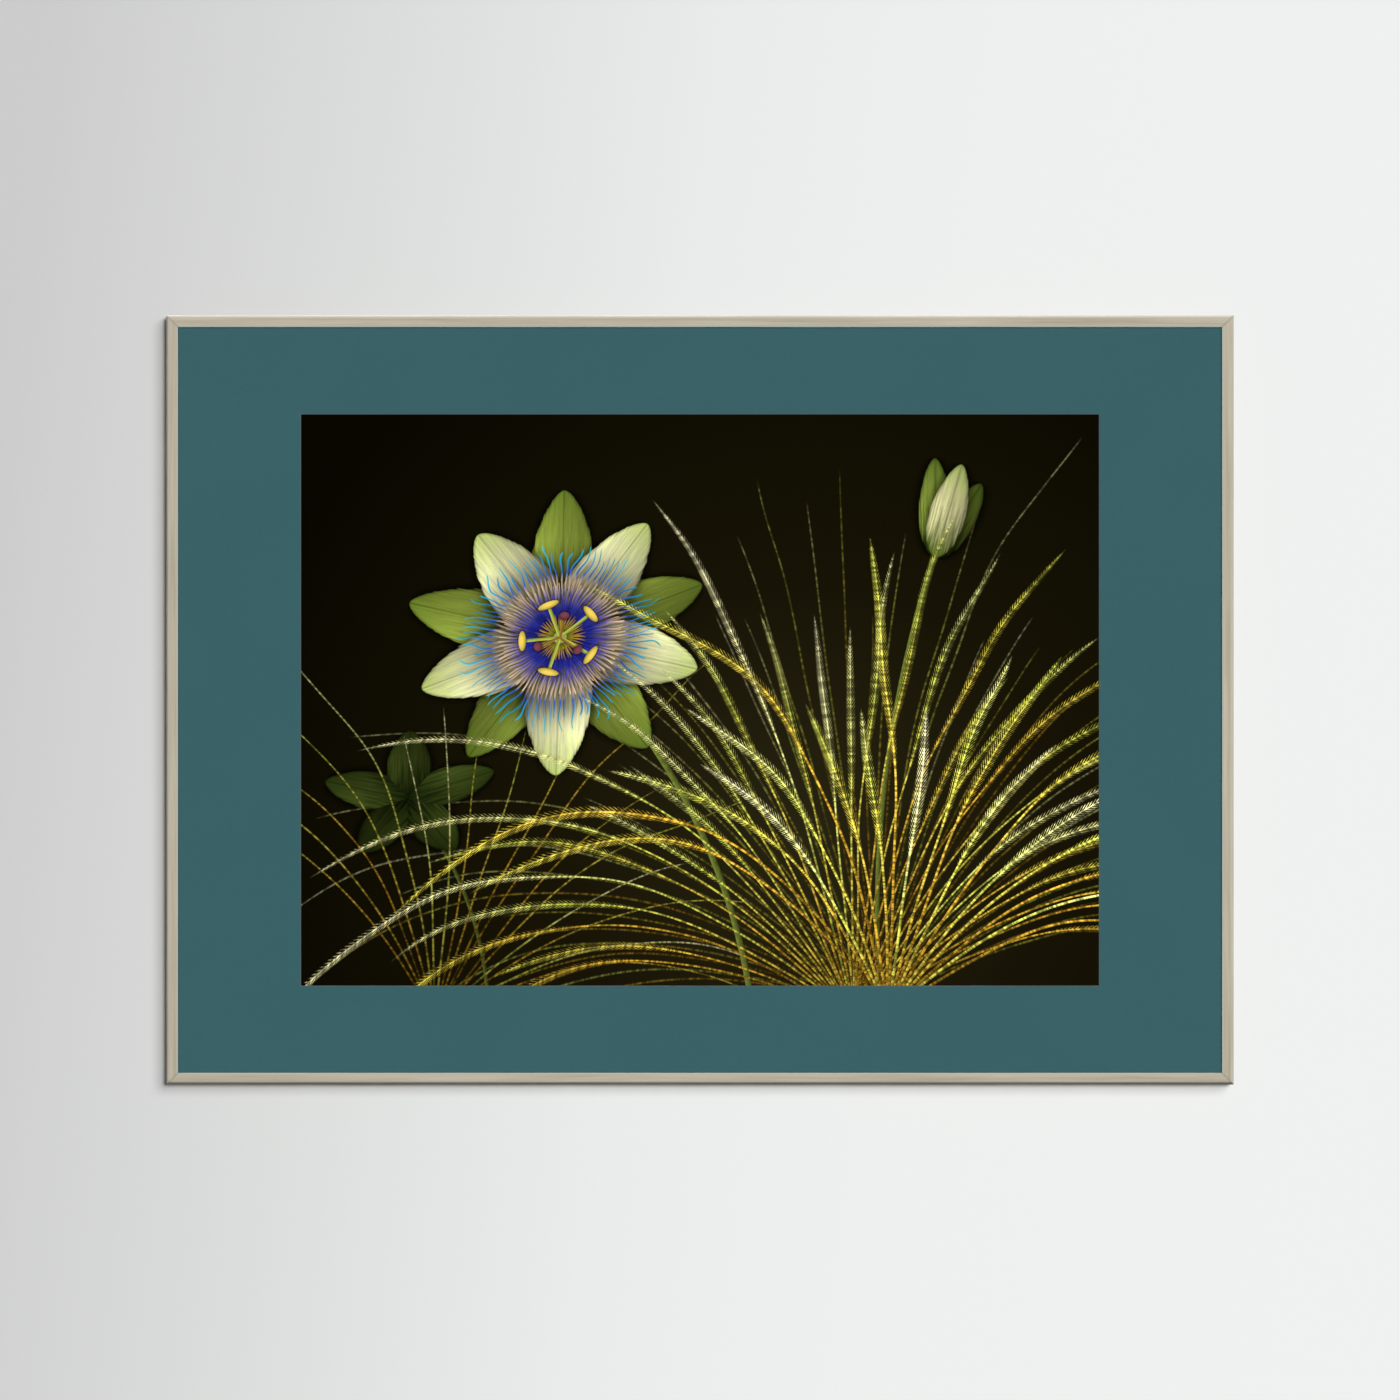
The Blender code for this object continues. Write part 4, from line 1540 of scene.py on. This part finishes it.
@dataclass
class Room:
    """The wall the picture hangs on, the floor, and the light."""

    floor_z: float = -1.5
    wall_gap: float = 0.0005
    wall_half_width: float = 1.25
    wall_top: float = 1.1
    floor_half: float = 16.0

    def build(self, middle: Vector) -> None:
        """Puts up the wall, the floor and the lights.

        The wall, the rails and the other pieces have lights of their own. Neither the floor
        nor the wall is mirrored, and the floor sends no light back.

        Args:
            middle: the picture's middle.
        """
        w, f, y = self.wall_half_width, self.floor_half, self.wall_gap
        low, top = self.floor_z, self.wall_top
        upright = [(-w, y, low), (w, y, low), (w, y, top), (-w, y, top)]
        level = [(-f, -f, low), (f, -f, low), (f, f, low), (-f, f, low)]
        wall = self.sheet("wall", upright, WallPaint("rolled wall paint"))
        floor = self.sheet("floor", level, FloorPaint("pale floor"))
        floor.visible_diffuse = floor.visible_transmission = floor.visible_glossy = False
        wall.visible_glossy = False
        rails = [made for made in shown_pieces() if made.name.startswith("oak_rail")]
        others = [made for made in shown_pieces() if made not in rails]
        near = self.sun("wall_softbox_near", (0.16, 0.09), 10.0, 1.74)
        wide = self.sun("wall_softbox_wide", (0.38, 0.28), 26.0, 1.42)
        for lamp in (near, wide):
            self.light_only(lamp, [wall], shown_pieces())
        front = self.sun("sheet_softbox", (0.03, 0.02), 12.0, 3.04)
        self.light_only(front, others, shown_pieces())
        side = self.sun("rail_softbox", (0.3, 1.0), 30.0, 4.47)
        self.light_only(side, rails)
        for made in rails:
            made.visible_diffuse = False
        overhead = self.sun("floor_light", (0.2, 6.0), 30.0, 3.1)
        self.light_only(overhead, [floor])
        behind = self.light("behind_the_wall", middle, (-0.22, 0.95, 0.35), 2.6, 1.4, 42.0)
        self.light_only(behind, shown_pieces())
        self.sky()

    @staticmethod
    def sheet(
        name: str, outline: Sequence[tuple[float, float, float]], finish: Finish
    ) -> bpy.types.Object:
        """Adds a flat part of the room.

        Args:
            name: its name.
            outline: its four corners in order.
            finish: its finish.

        Returns:
            The part.
        """
        mesh = bpy.data.meshes.new(name)
        mesh.from_pydata(outline, [], [(0, 1, 2, 3)])
        mesh.materials.append(finish.material())
        made = bpy.data.objects.new(name, mesh)
        bpy.context.scene.collection.objects.link(made)
        made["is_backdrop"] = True
        return made

    def sun(self, name: str, lean: tuple[float, float], spread: float, strength: float) -> bpy.types.Object:
        """Adds a far soft light in front of the wall, too wide and even to show in a reflection.

        Args:
            name: the light's name.
            lean: how far it stands to the right and up, as shares of its distance in front.
            spread: the angle it takes up in degrees, which sets how soft its shadows are.
            strength: its light on a surface that faces it.

        Returns:
            The light.
        """
        data = bpy.data.lights.new(name, "SUN")
        data.angle, data.energy = math.radians(spread), strength
        lamp = bpy.data.objects.new(name, data)
        toward = Vector((lean[0], -1.0, lean[1]))
        lamp.rotation_euler = toward.to_track_quat("Z", "Y").to_euler()
        lamp.visible_glossy = False
        lamp.visible_transmission = False
        bpy.context.scene.collection.objects.link(lamp)
        return lamp

    def light(
        self, name: str, middle: Vector, way: Sequence[float], far: float, size: float, watts: float
    ) -> bpy.types.Object:
        """Adds a square soft light that shines at the picture's middle.

        Args:
            name: the light's name.
            middle: what it shines at.
            way: the direction from there to the light.
            far: its distance.
            size: its side.
            watts: its power.

        Returns:
            The light.
        """
        data = bpy.data.lights.new(name, "AREA")
        data.size, data.energy = size, watts
        lamp = bpy.data.objects.new(name, data)
        toward = Vector(way).normalized()
        lamp.location = middle + far * toward
        lamp.rotation_euler = toward.to_track_quat("Z", "Y").to_euler()
        lamp.visible_camera = False
        lamp.visible_transmission = False
        bpy.context.scene.collection.objects.link(lamp)
        return lamp

    @staticmethod
    def light_only(
        lamp: bpy.types.Object,
        lit: Iterable[bpy.types.Object],
        shading: Iterable[bpy.types.Object] | None = None,
    ) -> None:
        """Links a light to the objects that take its light and to those that stop it.

        Args:
            lamp: the light.
            lit: what it lights.
            shading: what casts shadows in it, where that isn't the same.
        """
        linked = bpy.data.collections.new("lit by " + lamp.name)
        for made in lit:
            linked.objects.link(made)
        lamp.light_linking.receiver_collection = linked
        if shading:
            linked = bpy.data.collections.new("shading " + lamp.name)
            for made in shading:
                linked.objects.link(made)
        lamp.light_linking.blocker_collection = linked

    def sky(self) -> None:
        """A weak even light from all round, which the camera sees as a pale backdrop.

        Reflections find it brighter behind the picture, and more so higher up, because the
        hanger's bare metal shows only what it mirrors.
        """
        world = bpy.data.worlds.new("soft room light")
        bpy.context.scene.world = world
        world.cycles_visibility.transmission = False
        world.use_nodes = True
        n = Wiring(world.node_tree)
        seen, mirrored = n.add("LightPath", out=("Is Camera Ray", "Is Glossy Ray"))
        y, z = n.add("SeparateXYZ", n.add("TexCoord", out="Generated"), out=("Y", "Z"))
        high = n.add("MapRange", z, -0.7, 0.7, 0.3, 1.1)
        room = n.add("MapRange", y, 0.1, 0.6, 0.07, high)
        strength = n.add("MapRange", mirrored, 0.0, 1.0, 0.07, room)
        strength = n.add("MapRange", seen, 0.0, 1.0, strength, 1.0)
        n.add("OutputWorld", n.add("Background", linear("eeeeec"), strength))


@dataclass
class Viewpoint:
    """The camera: straight in front of the picture, far off behind a long lens."""

    lens_mm: float = 200.0
    sensor_mm: float = 36.0
    view_width: float = 0.93867

    def build(self, middle: Vector, front_y: float) -> None:
        """Sets the camera up so that the view is view_width across at the rails' front."""
        data = bpy.data.cameras.new("viewpoint")
        data.lens, data.sensor_width = self.lens_mm, self.sensor_mm
        data.clip_start, data.clip_end = 0.1, 60.0
        camera = bpy.data.objects.new("viewpoint", data)
        far = self.view_width * self.lens_mm / self.sensor_mm
        camera.location = (middle.x, front_y - far, middle.z)
        camera.rotation_euler = (math.pi / 2, 0.0, 0.0)
        bpy.context.scene.collection.objects.link(camera)
        bpy.context.scene.camera = camera
        bpy.context.scene.view_settings.view_transform = "Standard"


def main() -> None:
    """Builds and dresses every sub-assembly, then the room around them."""
    logging.basicConfig(level=logging.INFO, format="%(name)s: %(message)s")
    low, high = CAD_BOX
    middle = (low + high) / 2
    brass = PlatedSteel("brass-plated steel, stamped", "d9c389", "b09a5f", 0.26, 0.44)
    zinc = PlatedSteel("zinc-plated steel, stamped")
    # painted shade: how strong the grey line is on each side; left and right have none
    painted_shade = {Side.TOP: 0.62, Side.BOTTOM: 0.9, Side.LEFT: 0.0, Side.RIGHT: 0.0}
    assemblies: list[tuple[SubAssembly, Finish]] = [
        (
            Rail(side=side, painted_shade=painted_shade[side], seed=number),
            LimedOak("limed oak, planed and waxed", along=side, middle_z=middle.z),
        )
        for number, side in enumerate(Side, 1)
    ]
    assemblies += [
        (WindowMat(), MatBoard("petrol mat board, blade cut")),
        (PrintSheet(), PrintedPaper("satin photo paper, inkjet print", middle_z=middle.z)),
        (HangingStrip(), brass),
        (StripRivets(), zinc),
        (SteelPoints(), zinc),
    ]
    for assembly, finish in assemblies:
        assembly.build()
        assembly.dress(finish)
        for made in assembly.pieces:
            LOG.info("%s: %d faces", made.name, len(made.data.polygons))
    glazing = dress_node("glazing", ClearAcrylic("clear cast acrylic, coated"))
    glazing.visible_shadow = False
    LOG.info("%s: dressed, casts no shadow", glazing.name)
    board = dress_node("backing_board", Hardboard("hardboard, screen side"))
    LOG.info("%s: dressed", board.name)
    Viewpoint().build(middle, low.y)
    Room().build(middle)


if __name__ == "__main__":
    main()
